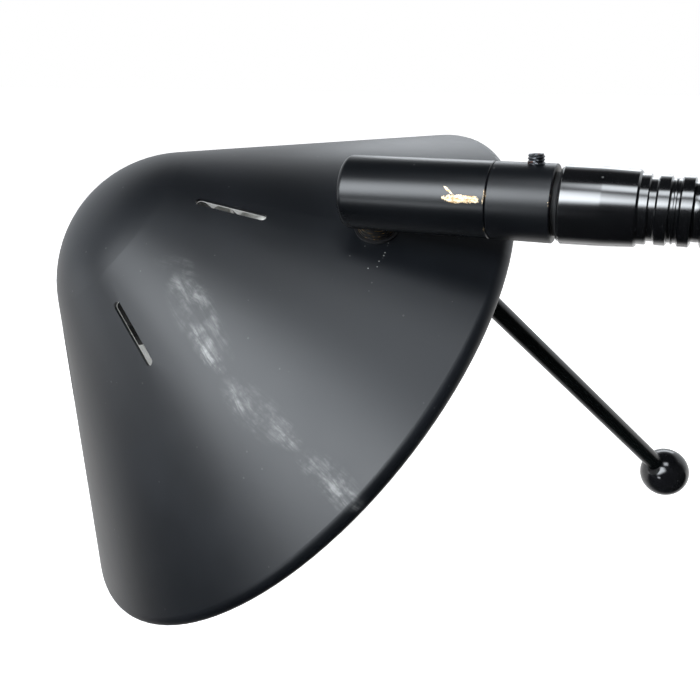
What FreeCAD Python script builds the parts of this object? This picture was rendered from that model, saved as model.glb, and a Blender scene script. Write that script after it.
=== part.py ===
import FreeCAD, Part
import math
import os

from FreeCAD import Placement, Rotation, Vector

# Balanced desk lamp on a round base, in millimetres.
# Origin: centre of the foot pad on the table. +Z is up. The balance arm lies along X at rest,
# with the lamp head at its -X end and the counterweight at its +X end.

# ---------------------------------------------------------------- driving dimensions
# Clearances
RUNNING = 0.05              # radial play of a shaft that turns or slides in its bore
SEAT = 0.1                  # play between flat faces that turn on each other
OPEN = 0.3                  # gap between curved faces that only pass each other

# Base
BASE_RADIUS = 95.0
BASE_HEIGHT = 26.0
BASE_EDGE_ROUND = 9.0
SHELL_WALL = 1.5
SKIRT_LIFT = 1.0            # the shell's lower edge stands this far above the table
PAD_THICKNESS = 2.0
PLATE_THICKNESS = 2.0
BALLAST_GAP = 8.0           # between the ballast disc and the shell's skirt
STUD_RADIUS = 5.0
STUD_NUT_FLATS = 17.0
STUD_NUT_HEIGHT = 5.0
STUD_WASHER_RADIUS = 11.0
STUD_WASHER_THICKNESS = 1.5
BASE_SCREW_RADIUS = 2.0
BASE_SCREW_LENGTH = 9.0
BASE_SCREW_CIRCLE = 70.0
BASE_SCREW_COUNT = 3
WIRE_BORE = 3.5             # radius of the way for the wires

# Switch on the base
SWITCH_X = -42.0
SWITCH_Y = -46.0
SWITCH_BODY_RADIUS = 11.0
SWITCH_NECK_RADIUS = 6.0
SWITCH_NECK_RISE = 2.2      # above the shell
SWITCH_RING_RADIUS = 9.0
BUTTON_RADIUS = 4.6
BUTTON_RISE = 4.0           # above the switch neck, when released
BUTTON_STEM = 9.0
BUTTON_TRAVEL = 2.5

# Cable gland in the skirt
GLAND_HEIGHT = 11.0
GLAND_BORE = 3.4
GLAND_NECK = 4.6
GLAND_FLANGE = 6.4
GLAND_FLANGE_THICKNESS = 1.6

# Column
COLUMN_RADIUS = 8.0
COLUMN_WALL = 1.2
SOCKET_RADIUS = 16.0
SOCKET_HEIGHT = 12.0
STUD_HEAD_LENGTH = 20.0
BUSH_FLANGE = 2.0
BUSH_LENGTH = 24.0
SWIVEL_WASHER = 0.8
RING_THICKNESS = 1.0        # snap rings
RING_SPLIT = 2.0            # the gap in a snap ring

# Fork and tilt pivot
ARM_HEIGHT = 420.0
PIVOT_DROP = 20.0           # the tilt pivot lies this far under the arm's axis
SPIGOT_RADIUS = 5.0
FORK_FLOOR = 6.0
FORK_ROOM = 3.0             # between the pivot boss and the fork's floor
EAR_THICKNESS = 4.0
EAR_RADIUS = 9.0
FORK_HUB_RADIUS = 12.6
BOSS_WIDTH = 16.0
BARREL_RADIUS = 10.0
BARREL_LENGTH = 30.0
WEB_WIDTH = 14.0
FRICTION_WASHER = 0.5
BOLT_RADIUS = 3.0
BOLT_HEAD_RADIUS = 6.0
BOLT_HEAD_HEIGHT = 3.5
KNOB_RADIUS = 11.0
KNOB_LENGTH = 10.0
KNOB_FLUTES = 12
KNOB_FLUTE_RADIUS = 1.8
BLOCK_SCREW_RADIUS = 2.0
BLOCK_SCREW_OFFSET = 9.0

# Balance arm and counterweight
ARM_RADIUS = 6.0
ARM_WALL = 1.2
ARM_FRONT = 120.0           # from the column's axis to the rear ferrule's end
ARM_TAIL = 230.0            # from the column's axis to the arm's tail end
CAP_RADIUS = 8.0
CAP_THICKNESS = 4.0
CAP_PLUG = 10.0
WEIGHT_FROM_END = 62.0      # middle of the counterweight at rest, back from the arm tube's end
WEIGHT_RADIUS = 33.0
WEIGHT_LENGTH = 64.0
WEIGHT_EDGE = 3.0
THUMB_RADIUS = 3.0
THUMB_HEAD_RADIUS = 8.0
THUMB_HEAD_HEIGHT = 9.0
THUMB_NECK = 2.0

# Flexible neck
RIB_RADIUS = 7.7
RIB_WIDTH = 3.1
RIB_CHAMFER = 0.45
GROOVE_WIDTH = 1.6
GROOVE_RADIUS = 6.95
BEAD_RADIUS = 7.3           # the thin wire that shows in each groove
BEAD_WIDTH = 0.7
RIBS_PER_SECTION = 3
SECTION_COUNT = 12
BALL_RADIUS = 6.5
NECK_BORE = 3.5

# Ferrules
FERRULE_START = 8.2         # radius at the chamfered mouth
FERRULE_WIDE = 8.95
FERRULE_NARROW = 8.5
FERRULE_LENGTH = 17.2
FERRULE_CHAMFER = 0.9
FERRULE_RIBS = 2
STUB_RADIUS = 7.75
STUB_LENGTH = 2.0
STUB_GROOVE = 1.3
REAR_GRIP = 15.0            # how far the arm goes into the rear ferrule

# Knuckle and collar
TUBE_RADIUS = 9.0
KNUCKLE_TIP = 7.7           # from the shade pivot's axis to the knuckle's closed end
KNUCKLE_SEAM = 28.9         # from the shade pivot's axis to the seam
KNUCKLE_ROUND = 1.5
COLLAR_LENGTH = 14.4
COLLAR_GAP = 1.05           # between collar and ferrule
COLLAR_GAP_RADIUS = 7.2
SWIVEL_RADIUS = 5.95
SWIVEL_LENGTH = 11.5
SWIVEL_GROOVE = 3.6         # from the spigot's end to its snap ring
FERRULE_SPIGOT = 5.0
FERRULE_SPIGOT_LENGTH = 11.4
SET_SCREW_RADIUS = 2.0
SET_SCREW_BACK = 4.9        # from the collar's ferrule end
SET_SCREW_RISE = 2.0        # above the collar
HEX_SOCKET = 2.0            # across flats

# Shade pivot
PIVOT_LEAD = 12.4           # degrees by which the neck leads away from the shade's wall
PIVOT_ROLL = 33.0           # degrees from straight up, towards -Y
MERIDIAN_TURN = 3.2         # degrees between the neck and the cone's own slope line
WALL_GAP = 3.0              # between the shade and the knuckle
POST_RADIUS = 4.8
POST_BORE = 2.6
POST_TOP = 8.6              # outwards from the wall's outer face
POST_TAIL = 8.4             # inwards from the wall's outer face
POST_RING_AT = 7.0
POST_WASHER = 0.5
POST_WASHER_RADIUS = 5.7
POST_NUT_FLATS = 14.0
POST_NUT_HEIGHT = 3.0

# Shade
CONE_HALF_ANGLE = 44.56     # degrees
CROWN_RADIUS = 39.2
MOUTH_RADIUS = 91.5
SHADE_WALL = 1.2
LIP_RADIUS = 3.0
LIP_SWEEP = 125.0           # degrees that the sheet turns inwards at the mouth
PIVOT_AXIAL = 69.3          # from the cone's point to the pivot, along the shade's axis
SLOT_COUNT = 6
SLOT_LENGTH = 20.0
SLOT_WIDTH = 2.2
SLOT_SLANT = 58.7           # from the cone's point to the slot's middle, along the slope
SLOT_PHASE = 4.7            # degrees from the pivot's slope line

# Lamp bracket, lampholder and bulb; heights are from the cone's point, along the shade's axis
BRACKET_THICKNESS = 1.5
BRACKET_WIDTH = 16.0
BRACKET_GAP = 0.7           # from the wall's inner face, so that the strip's edges nearly touch it
BRACKET_TAIL = 7.6          # past the pivot, towards the mouth
BRACKET_FLOOR = 49.0        # height of the strip's flat end
HOLDER_RADIUS = 21.5
HOLDER_BACK = 29.0
HOLDER_EDGE = 3.0
HOLDER_SKIRT = 19.5         # radius of the threaded skirt through the bracket
HOLDER_FRONT = 55.5
HOLDER_FLOOR = 4.0
RING_RADIUS = 25.0
RING_NUT = 2.9
CAP_BORE = 14.0             # radius of the brass screw sleeve's outside
SLEEVE_WALL = 0.5
BULB_CAP_RADIUS = 13.2
BULB_CAP_LENGTH = 20.0
BULB_NECK = 12.4
BULB_RADIUS = 22.5
BULB_WALL = 0.8
BULB_RISE = 20.6            # from the cap's rim to the globe's centre

# Aiming handle
HANDLE_RADIUS = 2.8
HANDLE_BALL = 8.2
HANDLE_BALL_X = 61.3
HANDLE_BALL_Y = -17.3
HANDLE_BALL_Z = 220.3
HANDLE_ROOT_X = 73.5
HANDLE_ROOT_Y = -3.7
HANDLE_ROOT_Z = 81.4
EYE_RADIUS = 7.6
EYE_THICKNESS = 2.0

# ---------------------------------------------------------------- worked-out places
UP = Vector(0, 0, 1)
ALONG = Vector(1, 0, 0)
ACROSS = Vector(0, 1, 0)
TOWARDS_HEAD = Vector(-1, 0, 0)

PITCH = RIB_WIDTH + GROOVE_WIDTH
SECTION_LENGTH = RIBS_PER_SECTION * PITCH
SOCKET_SPHERE = BALL_RADIUS + OPEN
FERRULE_RIB_LENGTH = FERRULE_RIBS * PITCH - GROOVE_WIDTH / 2
FERRULE_BARREL_AT = FERRULE_RIB_LENGTH + STUB_GROOVE + STUB_LENGTH
FERRULE_TOTAL = FERRULE_BARREL_AT + FERRULE_LENGTH

REAR_JOINT_X = -ARM_FRONT - FERRULE_TOTAL
FRONT_JOINT_X = REAR_JOINT_X - SECTION_COUNT * SECTION_LENGTH
COLLAR_REAR_X = FRONT_JOINT_X - FERRULE_TOTAL - COLLAR_GAP
COLLAR_FRONT_X = COLLAR_REAR_X - COLLAR_LENGTH
SEAM_X = COLLAR_FRONT_X - SEAT
PIVOT_X = SEAM_X - KNUCKLE_SEAM
SET_SCREW_X = COLLAR_REAR_X - SET_SCREW_BACK

PIVOT_Z = ARM_HEIGHT - PIVOT_DROP
BOSS_RADIUS = EAR_RADIUS
WEIGHT_X = ARM_TAIL - WEIGHT_FROM_END
FORK_FLOOR_Z = PIVOT_Z - BOSS_RADIUS - FORK_ROOM
FORK_BOTTOM_Z = FORK_FLOOR_Z - FORK_FLOOR
BUSH_TOP_Z = FORK_BOTTOM_Z - SWIVEL_WASHER
COLUMN_TOP_Z = BUSH_TOP_Z - BUSH_FLANGE
COLUMN_BORE = COLUMN_RADIUS - COLUMN_WALL
FORK_GAP = BOSS_WIDTH / 2 + FRICTION_WASHER + SEAT
EAR_OUTER = FORK_GAP + EAR_THICKNESS

SHELL_INNER_Z = BASE_HEIGHT - SHELL_WALL
PLATE_TOP_Z = PAD_THICKNESS + PLATE_THICKNESS
SKIRT_INNER = BASE_RADIUS - SHELL_WALL
BALLAST_RADIUS = SKIRT_INNER - BALLAST_GAP
STUD_RECESS_Z = PLATE_TOP_Z + STUD_NUT_HEIGHT + STUD_WASHER_THICKNESS + 2.5

# The shade's own directions: outwards through the wall at the pivot, down the slope line,
# along the shade's axis to the mouth, and square to the axis through the pivot.
lead = math.radians(PIVOT_LEAD)
roll = math.radians(PIVOT_ROLL)
turn = math.radians(MERIDIAN_TURN)
cone = math.radians(CONE_HALF_ANGLE)
SQUARE_TO_NECK = Vector(0, -math.sin(roll), math.cos(roll))
OUTWARD = ALONG * math.sin(lead) + SQUARE_TO_NECK * math.cos(lead)
NECK_ON_WALL = ALONG * math.cos(lead) - SQUARE_TO_NECK * math.sin(lead)
SIDEWAYS = OUTWARD.cross(NECK_ON_WALL)
SLOPE = NECK_ON_WALL * math.cos(turn) + SIDEWAYS * math.sin(turn)
SHADE_AXIS = SLOPE * math.cos(cone) - OUTWARD * math.sin(cone)
SHADE_RADIAL = SLOPE * math.sin(cone) + OUTWARD * math.cos(cone)
SHADE_TANGENT = SHADE_AXIS.cross(SHADE_RADIAL)

PIVOT_CROSSING = Vector(PIVOT_X, 0, ARM_HEIGHT)
PIVOT_ON_WALL = PIVOT_CROSSING - OUTWARD * (TUBE_RADIUS + WALL_GAP)
PIVOT_RADIAL = PIVOT_AXIAL * math.tan(cone)
CONE_POINT = PIVOT_ON_WALL - SHADE_RADIAL * PIVOT_RADIAL - SHADE_AXIS * PIVOT_AXIAL
SHADE_PLACE = Placement(CONE_POINT, Rotation(SHADE_RADIAL, SHADE_TANGENT, SHADE_AXIS, "ZXY"))


# ---------------------------------------------------------------- helpers
def save(name, *solids):
    """Write one named sub-part, as one solid or as a group of separate solids."""
    shape = solids[0] if len(solids) == 1 else Part.makeCompound(list(solids))
    shape.exportStep("parts/" + name + ".step")
    return shape


def rod(radius, length, base, axis=UP):
    return Part.makeCylinder(radius, length, base, axis)


def pipe(outer, inner, length, base, axis=UP):
    return rod(outer, length, base, axis).cut(rod(inner, length, base, axis))


def box(low, high):
    size = high - low
    return Part.makeBox(size.x, size.y, size.z, low)


def placed(shape, base, axis):
    """Move a shape made along +X so that it starts at base and runs along axis."""
    moved = shape.copy()
    moved.Placement = Placement(base, Rotation(ALONG, axis))
    return moved


def turned(points, base=Vector(0, 0, 0), axis=ALONG):
    """Revolve a closed outline of (distance along, radius) points about its axis."""
    corners = [Vector(along, 0, radius) for along, radius in points]
    face = Part.Face(Part.makePolygon(corners + [corners[0]]))
    solid = face.revolve(Vector(0, 0, 0), ALONG, 360)
    return placed(solid, base, axis)


def ribbed(points, base, axis):
    """A ruled loft through circles on one axis, from (distance along, radius) points in order."""
    rings = []
    for along, radius in points:
        rings.append(Part.Wire(Part.makeCircle(radius, Vector(along, 0, 0), ALONG)))
    return placed(Part.makeLoft(rings, True, True), base, axis)


def hexagon(across_flats, length, base, axis=UP):
    corner = across_flats / math.sqrt(3)
    corners = []
    for step in range(6):
        angle = math.radians(60 * step)
        corners.append(Vector(0, corner * math.cos(angle), corner * math.sin(angle)))
    face = Part.Face(Part.makePolygon(corners + [corners[0]]))
    return placed(face.extrude(ALONG * length), base, axis)


def snap_ring(outer, inner, base, axis, split_towards):
    """A flat ring with a gap, as it springs into its groove."""
    ring = pipe(outer, inner, RING_THICKNESS, base, axis)
    side = axis.cross(split_towards) * (RING_SPLIT / 2)
    reach = split_towards * (outer + 1)
    corners = [base - side, base + side, base + side + reach, base - side + reach]
    gap = Part.Face(Part.makePolygon(corners + [corners[0]])).extrude(axis * RING_THICKNESS)
    return ring.cut(gap)


def rim_edges(solid, radius, base, axis):
    """The circular edges of a solid that have this radius and centre."""
    found = []
    for edge in solid.Edges:
        curve = edge.Curve
        if isinstance(curve, Part.Circle) and abs(curve.Radius - radius) < 1e-4:
            if (curve.Center - base).Length < 1e-4 and abs(curve.Axis.dot(axis)) > 0.999:
                found.append(edge)
    return found


# ---------------------------------------------------------------- base
def base_shell():
    """A spun dish, open below, with holes for the stud, the switch and the cable gland."""
    outer_arc_z = BASE_HEIGHT - BASE_EDGE_ROUND
    inner_round = BASE_EDGE_ROUND - SHELL_WALL
    centre_r = BASE_RADIUS - BASE_EDGE_ROUND
    mid = math.sqrt(0.5)

    def point(radius, height):
        return Vector(radius, 0, height)

    outer_mid = point(centre_r + BASE_EDGE_ROUND * mid, outer_arc_z + BASE_EDGE_ROUND * mid)
    inner_mid = point(centre_r + inner_round * mid, outer_arc_z + inner_round * mid)
    edges = [
        Part.LineSegment(point(0, BASE_HEIGHT), point(centre_r, BASE_HEIGHT)),
        Part.Arc(point(centre_r, BASE_HEIGHT), outer_mid, point(BASE_RADIUS, outer_arc_z)),
        Part.LineSegment(point(BASE_RADIUS, outer_arc_z), point(BASE_RADIUS, SKIRT_LIFT)),
        Part.LineSegment(point(BASE_RADIUS, SKIRT_LIFT), point(SKIRT_INNER, SKIRT_LIFT)),
        Part.LineSegment(point(SKIRT_INNER, SKIRT_LIFT), point(SKIRT_INNER, outer_arc_z)),
        Part.Arc(point(SKIRT_INNER, outer_arc_z), inner_mid, point(centre_r, SHELL_INNER_Z)),
        Part.LineSegment(point(centre_r, SHELL_INNER_Z), point(0, SHELL_INNER_Z)),
        Part.LineSegment(point(0, SHELL_INNER_Z), point(0, BASE_HEIGHT)),
    ]
    outline = Part.Wire([edge.toShape() for edge in edges])
    dish = Part.Face(outline).revolve(Vector(0, 0, 0), UP, 360)
    above = BASE_HEIGHT - SHELL_WALL - 1
    dish = dish.cut(rod(STUD_RADIUS + SEAT, 5, Vector(0, 0, above)))
    dish = dish.cut(rod(SWITCH_NECK_RADIUS + SEAT, 5, Vector(SWITCH_X, SWITCH_Y, above)))
    gland_start = Vector(SKIRT_INNER - 3, 0, GLAND_HEIGHT)
    return dish.cut(rod(GLAND_NECK + SEAT, 8, gland_start, ALONG))


def screw_places():
    places = []
    for index in range(BASE_SCREW_COUNT):
        angle = math.radians(360 * index / BASE_SCREW_COUNT + 30)
        places.append(Vector(BASE_SCREW_CIRCLE * math.cos(angle),
                             BASE_SCREW_CIRCLE * math.sin(angle), PAD_THICKNESS))
    return places


def ballast_disc():
    """A cast disc under the shell, with a nut recess, a switch well and a wire channel."""
    height = SHELL_INNER_Z - PLATE_TOP_Z
    disc = rod(BALLAST_RADIUS, height, Vector(0, 0, PLATE_TOP_Z))
    disc = disc.cut(rod(STUD_RADIUS + SEAT, height, Vector(0, 0, PLATE_TOP_Z)))
    recess = STUD_RECESS_Z - PLATE_TOP_Z
    disc = disc.cut(rod(STUD_WASHER_RADIUS + 1, recess, Vector(0, 0, PLATE_TOP_Z)))
    well = Vector(SWITCH_X, SWITCH_Y, PLATE_TOP_Z)
    disc = disc.cut(rod(SWITCH_BODY_RADIUS + 1, height, well))
    channel_top = GLAND_HEIGHT + GLAND_FLANGE + 0.6
    channel = box(Vector(0, -GLAND_FLANGE, PLATE_TOP_Z), Vector(BASE_RADIUS, GLAND_FLANGE, channel_top))
    disc = disc.cut(channel)
    for place in screw_places():
        disc = disc.cut(rod(BASE_SCREW_RADIUS + RUNNING, BASE_SCREW_LENGTH + 1, place))
    return disc


def base_plate():
    plate = rod(SKIRT_INNER - SEAT, PLATE_THICKNESS, Vector(0, 0, PAD_THICKNESS))
    for place in screw_places():
        plate = plate.cut(screw(place, BASE_SCREW_RADIUS + RUNNING, 2 * BASE_SCREW_RADIUS + RUNNING))
    return plate


def screw(place, radius, head):
    """A countersunk screw that points up, flush with the plate's lower face."""
    points = [(0, 0), (0, head), (head - radius, radius), (BASE_SCREW_LENGTH, radius), (BASE_SCREW_LENGTH, 0)]
    return turned(points, place, UP)


def switch_parts():
    centre = Vector(SWITCH_X, SWITCH_Y, 0)
    low = PLATE_TOP_Z + 1
    body = rod(SWITCH_BODY_RADIUS, SHELL_INNER_Z - low, centre + UP * low)
    neck_top = BASE_HEIGHT + SWITCH_NECK_RISE
    body = body.fuse(rod(SWITCH_NECK_RADIUS, neck_top - low, centre + UP * low))
    well = BUTTON_STEM + BUTTON_TRAVEL + 0.5
    body = body.cut(rod(BUTTON_RADIUS + SEAT, well, centre + UP * (neck_top - well)))
    ring_base = centre + UP * BASE_HEIGHT
    ring = pipe(SWITCH_RING_RADIUS, SWITCH_NECK_RADIUS + RUNNING, SWITCH_NECK_RISE, ring_base)
    button_base = centre + UP * (neck_top - BUTTON_STEM)
    button = rod(BUTTON_RADIUS, BUTTON_STEM + BUTTON_RISE, button_base)
    crown = rim_edges(button, BUTTON_RADIUS, centre + UP * (neck_top + BUTTON_RISE), UP)
    return body.removeSplitter(), ring, button.makeFillet(0.8, crown)


def cable_gland():
    """A grommet in the skirt, where the mains cord enters."""
    flange = GLAND_FLANGE_THICKNESS
    wall = SHELL_WALL
    step = 0.9              # the skirt is curved, so the flanges stand clear of its faces
    outer_face = wall + step
    points = [
        (-step - flange, GLAND_BORE), (-step - flange, GLAND_FLANGE - 1), (-step, GLAND_FLANGE - 1),
        (-step, GLAND_NECK), (outer_face, GLAND_NECK), (outer_face, GLAND_FLANGE),
        (outer_face + flange, GLAND_FLANGE - 0.6), (outer_face + flange, GLAND_BORE),
    ]
    return turned(points, Vector(SKIRT_INNER, 0, GLAND_HEIGHT), ALONG)


def make_base():
    save("base_shell", base_shell())
    save("ballast_disc", ballast_disc())
    save("base_plate", base_plate())
    save("base_pad", rod(SKIRT_INNER - 1, PAD_THICKNESS, Vector(0, 0, 0)))
    screws = [screw(place, BASE_SCREW_RADIUS, 2 * BASE_SCREW_RADIUS) for place in screw_places()]
    save("base_screws", *screws)
    body, ring, button = switch_parts()
    save("switch_body", body)
    save("switch_ring", ring)
    save("switch_button", button)
    save("cable_gland", cable_gland())


# ---------------------------------------------------------------- column
def column_stud():
    """A hollow stud: its head fills the column's foot, and its shank goes through the base."""
    bottom = PLATE_TOP_Z + 2
    shank = rod(STUD_RADIUS, BASE_HEIGHT - bottom, Vector(0, 0, bottom))
    head = rod(COLUMN_BORE, STUD_HEAD_LENGTH, Vector(0, 0, BASE_HEIGHT))
    stud = shank.fuse(head).removeSplitter()
    length = BASE_HEIGHT + STUD_HEAD_LENGTH - bottom
    return stud.cut(rod(WIRE_BORE, length, Vector(0, 0, bottom)))


def column_socket():
    """A turned collar on the base that steadies the column's foot."""
    points = [
        (0, COLUMN_RADIUS + RUNNING), (0, SOCKET_RADIUS), (2.5, SOCKET_RADIUS),
        (5, SOCKET_RADIUS - 3.5), (SOCKET_HEIGHT, COLUMN_RADIUS + 2.2), (SOCKET_HEIGHT, COLUMN_RADIUS + RUNNING),
    ]
    return turned(points, Vector(0, 0, BASE_HEIGHT), UP)


def column_bush():
    points = [
        (0, SPIGOT_RADIUS + RUNNING), (0, COLUMN_BORE), (BUSH_LENGTH - BUSH_FLANGE, COLUMN_BORE),
        (BUSH_LENGTH - BUSH_FLANGE, COLUMN_RADIUS), (BUSH_LENGTH, COLUMN_RADIUS), (BUSH_LENGTH, SPIGOT_RADIUS + RUNNING),
    ]
    return turned(points, Vector(0, 0, BUSH_TOP_Z - BUSH_LENGTH), UP)


def make_column():
    save("column_stud", column_stud())
    washer_z = STUD_RECESS_Z - STUD_WASHER_THICKNESS
    washer = pipe(STUD_WASHER_RADIUS, STUD_RADIUS + RUNNING, STUD_WASHER_THICKNESS, Vector(0, 0, washer_z))
    save("stud_washer", washer)
    nut_base = Vector(0, 0, washer_z - STUD_NUT_HEIGHT)
    nut = hexagon(STUD_NUT_FLATS, STUD_NUT_HEIGHT, nut_base)
    save("stud_nut", nut.cut(rod(STUD_RADIUS + RUNNING, STUD_NUT_HEIGHT, nut_base)))
    save("column_socket", column_socket())
    tube_base = Vector(0, 0, BASE_HEIGHT)
    save("column_tube", pipe(COLUMN_RADIUS, COLUMN_BORE, COLUMN_TOP_Z - BASE_HEIGHT, tube_base))
    save("column_bush", column_bush())


# ---------------------------------------------------------------- fork on the column
SPIGOT_END_Z = BUSH_TOP_Z - BUSH_LENGTH - 4
SPIGOT_RING_Z = BUSH_TOP_Z - BUSH_LENGTH - 0.2 - RING_THICKNESS
SPIGOT_RING_DEPTH = 0.8


def fork():
    """Two ears on a hub, with a hollow spigot that turns in the column's bush."""
    hub = rod(FORK_HUB_RADIUS, FORK_FLOOR, Vector(0, 0, FORK_BOTTOM_Z))
    spigot = rod(SPIGOT_RADIUS, FORK_BOTTOM_Z - SPIGOT_END_Z, Vector(0, 0, SPIGOT_END_Z))
    groove_base = Vector(0, 0, SPIGOT_RING_Z)
    groove = pipe(SPIGOT_RADIUS + 1, SPIGOT_RADIUS - SPIGOT_RING_DEPTH, RING_THICKNESS, groove_base)
    body = hub.fuse(spigot.cut(groove))
    for side in (-1, 1):
        near = side * FORK_GAP
        far = side * EAR_OUTER
        low_y = min(near, far)
        plate = box(Vector(-EAR_RADIUS, low_y, FORK_BOTTOM_Z), Vector(EAR_RADIUS, low_y + EAR_THICKNESS, PIVOT_Z))
        plate = plate.common(rod(FORK_HUB_RADIUS, PIVOT_DROP * 2, Vector(0, 0, FORK_BOTTOM_Z)))
        ear = rod(EAR_RADIUS, EAR_THICKNESS, Vector(0, low_y, PIVOT_Z), ACROSS)
        stem = box(Vector(-EAR_RADIUS, low_y, FORK_FLOOR_Z), Vector(EAR_RADIUS, low_y + EAR_THICKNESS, PIVOT_Z))
        body = body.fuse([plate, ear, stem])
    body = body.removeSplitter()
    body = body.cut(rod(BOLT_RADIUS + RUNNING, EAR_OUTER * 3, Vector(0, -EAR_OUTER * 1.5, PIVOT_Z), ACROSS))
    wires = rod(WIRE_BORE, FORK_FLOOR_Z - SPIGOT_END_Z, Vector(0, 0, SPIGOT_END_Z))
    return body.cut(wires)


def pivot_bolt():
    length = EAR_OUTER * 2 + SEAT + KNOB_LENGTH
    head_start = EAR_OUTER
    shank = rod(BOLT_RADIUS, length, Vector(0, head_start - length, PIVOT_Z), ACROSS)
    head = rod(BOLT_HEAD_RADIUS, BOLT_HEAD_HEIGHT, Vector(0, head_start, PIVOT_Z), ACROSS)
    rim = rim_edges(head, BOLT_HEAD_RADIUS, Vector(0, head_start + BOLT_HEAD_HEIGHT, PIVOT_Z), ACROSS)
    head = head.makeFillet(1.0, rim)
    bolt = shank.fuse(head).removeSplitter()
    slot_low = Vector(-BOLT_HEAD_RADIUS, head_start + BOLT_HEAD_HEIGHT - 1.2, PIVOT_Z - 0.6)
    slot_high = Vector(BOLT_HEAD_RADIUS, head_start + BOLT_HEAD_HEIGHT, PIVOT_Z + 0.6)
    return bolt.cut(box(slot_low, slot_high))


def pivot_knob():
    """A fluted clamp knob on the bolt's free end."""
    start = Vector(0, -EAR_OUTER - SEAT, PIVOT_Z)
    points = [
        (0, BOLT_RADIUS + RUNNING), (0, KNOB_RADIUS - 3), (2, KNOB_RADIUS), (KNOB_LENGTH - 1.2, KNOB_RADIUS),
        (KNOB_LENGTH, KNOB_RADIUS - 1.2), (KNOB_LENGTH, BOLT_RADIUS + RUNNING),
    ]
    knob = turned(points, start, ACROSS * -1)
    for index in range(KNOB_FLUTES):
        angle = 2 * math.pi * index / KNOB_FLUTES
        offset = Vector(math.cos(angle), 0, math.sin(angle)) * (KNOB_RADIUS + KNOB_FLUTE_RADIUS * 0.5)
        knob = knob.cut(rod(KNOB_FLUTE_RADIUS, KNOB_LENGTH, start + offset, ACROSS * -1))
    return knob


def make_fork():
    save("fork", fork())
    washer_base = Vector(0, 0, BUSH_TOP_Z)
    save("swivel_washer", pipe(COLUMN_RADIUS, SPIGOT_RADIUS + RUNNING, SWIVEL_WASHER, washer_base))
    ring_inner = SPIGOT_RADIUS - SPIGOT_RING_DEPTH
    save("spigot_ring", snap_ring(COLUMN_BORE - OPEN, ring_inner, Vector(0, 0, SPIGOT_RING_Z), UP, ALONG))
    save("pivot_bolt", pivot_bolt())
    save("pivot_knob", pivot_knob())


# ---------------------------------------------------------------- arm
def arm_block():
    """The block that holds the arm: a boss on the tilt pivot, a web, and a barrel round the arm."""
    half = BOSS_WIDTH / 2
    boss = rod(BOSS_RADIUS, BOSS_WIDTH, Vector(0, -half, PIVOT_Z), ACROSS)
    web = box(Vector(-WEB_WIDTH / 2, -half, PIVOT_Z), Vector(WEB_WIDTH / 2, half, ARM_HEIGHT))
    barrel = rod(BARREL_RADIUS, BARREL_LENGTH, Vector(-BARREL_LENGTH / 2, 0, ARM_HEIGHT), ALONG)
    block = boss.fuse([web, barrel]).removeSplitter()
    block = block.cut(rod(ARM_RADIUS + RUNNING, BARREL_LENGTH, Vector(-BARREL_LENGTH / 2, 0, ARM_HEIGHT), ALONG))
    block = block.cut(rod(BOLT_RADIUS + RUNNING, BOSS_WIDTH, Vector(0, -half, PIVOT_Z), ACROSS))
    for place in block_screw_places():
        block = block.cut(rod(BLOCK_SCREW_RADIUS + RUNNING, BARREL_RADIUS, place))
    return block


def block_screw_places():
    return [Vector(side * BLOCK_SCREW_OFFSET, 0, ARM_HEIGHT) for side in (-1, 1)]


def grub_screw(radius, bottom, top, centre, axis):
    """A headless screw with a hexagon socket, from bottom to top along its axis."""
    screw_body = rod(radius, top - bottom, centre + axis * bottom, axis)
    tip = rim_edges(screw_body, radius, centre + axis * top, axis)
    screw_body = screw_body.makeChamfer(0.3, tip)
    socket_depth = min(2.5, (top - bottom) * 0.5)
    return screw_body.cut(hexagon(HEX_SOCKET, socket_depth, centre + axis * (top - socket_depth), axis))


def arm_tube():
    start = Vector(-ARM_FRONT - REAR_GRIP, 0, ARM_HEIGHT)
    length = ARM_FRONT + REAR_GRIP + ARM_TAIL
    tube = pipe(ARM_RADIUS, ARM_RADIUS - ARM_WALL, length, start, ALONG)
    wire_hole = rod(WIRE_BORE, ARM_RADIUS + 1, Vector(0, 0, ARM_HEIGHT), UP * -1)
    return tube.cut(wire_hole)


def arm_cap():
    bore = ARM_RADIUS - ARM_WALL
    points = [
        (-CAP_PLUG, 0), (-CAP_PLUG, bore), (0, bore), (0, CAP_RADIUS), (CAP_THICKNESS - 1, CAP_RADIUS),
        (CAP_THICKNESS, CAP_RADIUS - 1), (CAP_THICKNESS, 0),
    ]
    return turned(points, Vector(ARM_TAIL, 0, ARM_HEIGHT), ALONG)


def counterweight():
    half = WEIGHT_LENGTH / 2
    edge = WEIGHT_EDGE
    bore = ARM_RADIUS + RUNNING
    points = [
        (-half, bore), (-half, WEIGHT_RADIUS - edge), (-half + edge, WEIGHT_RADIUS),
        (half - edge, WEIGHT_RADIUS), (half, WEIGHT_RADIUS - edge), (half, bore),
    ]
    weight = turned(points, Vector(WEIGHT_X, 0, ARM_HEIGHT), ALONG)
    return weight.cut(rod(THUMB_RADIUS + RUNNING, WEIGHT_RADIUS + 1, Vector(WEIGHT_X, 0, ARM_HEIGHT)))


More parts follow.
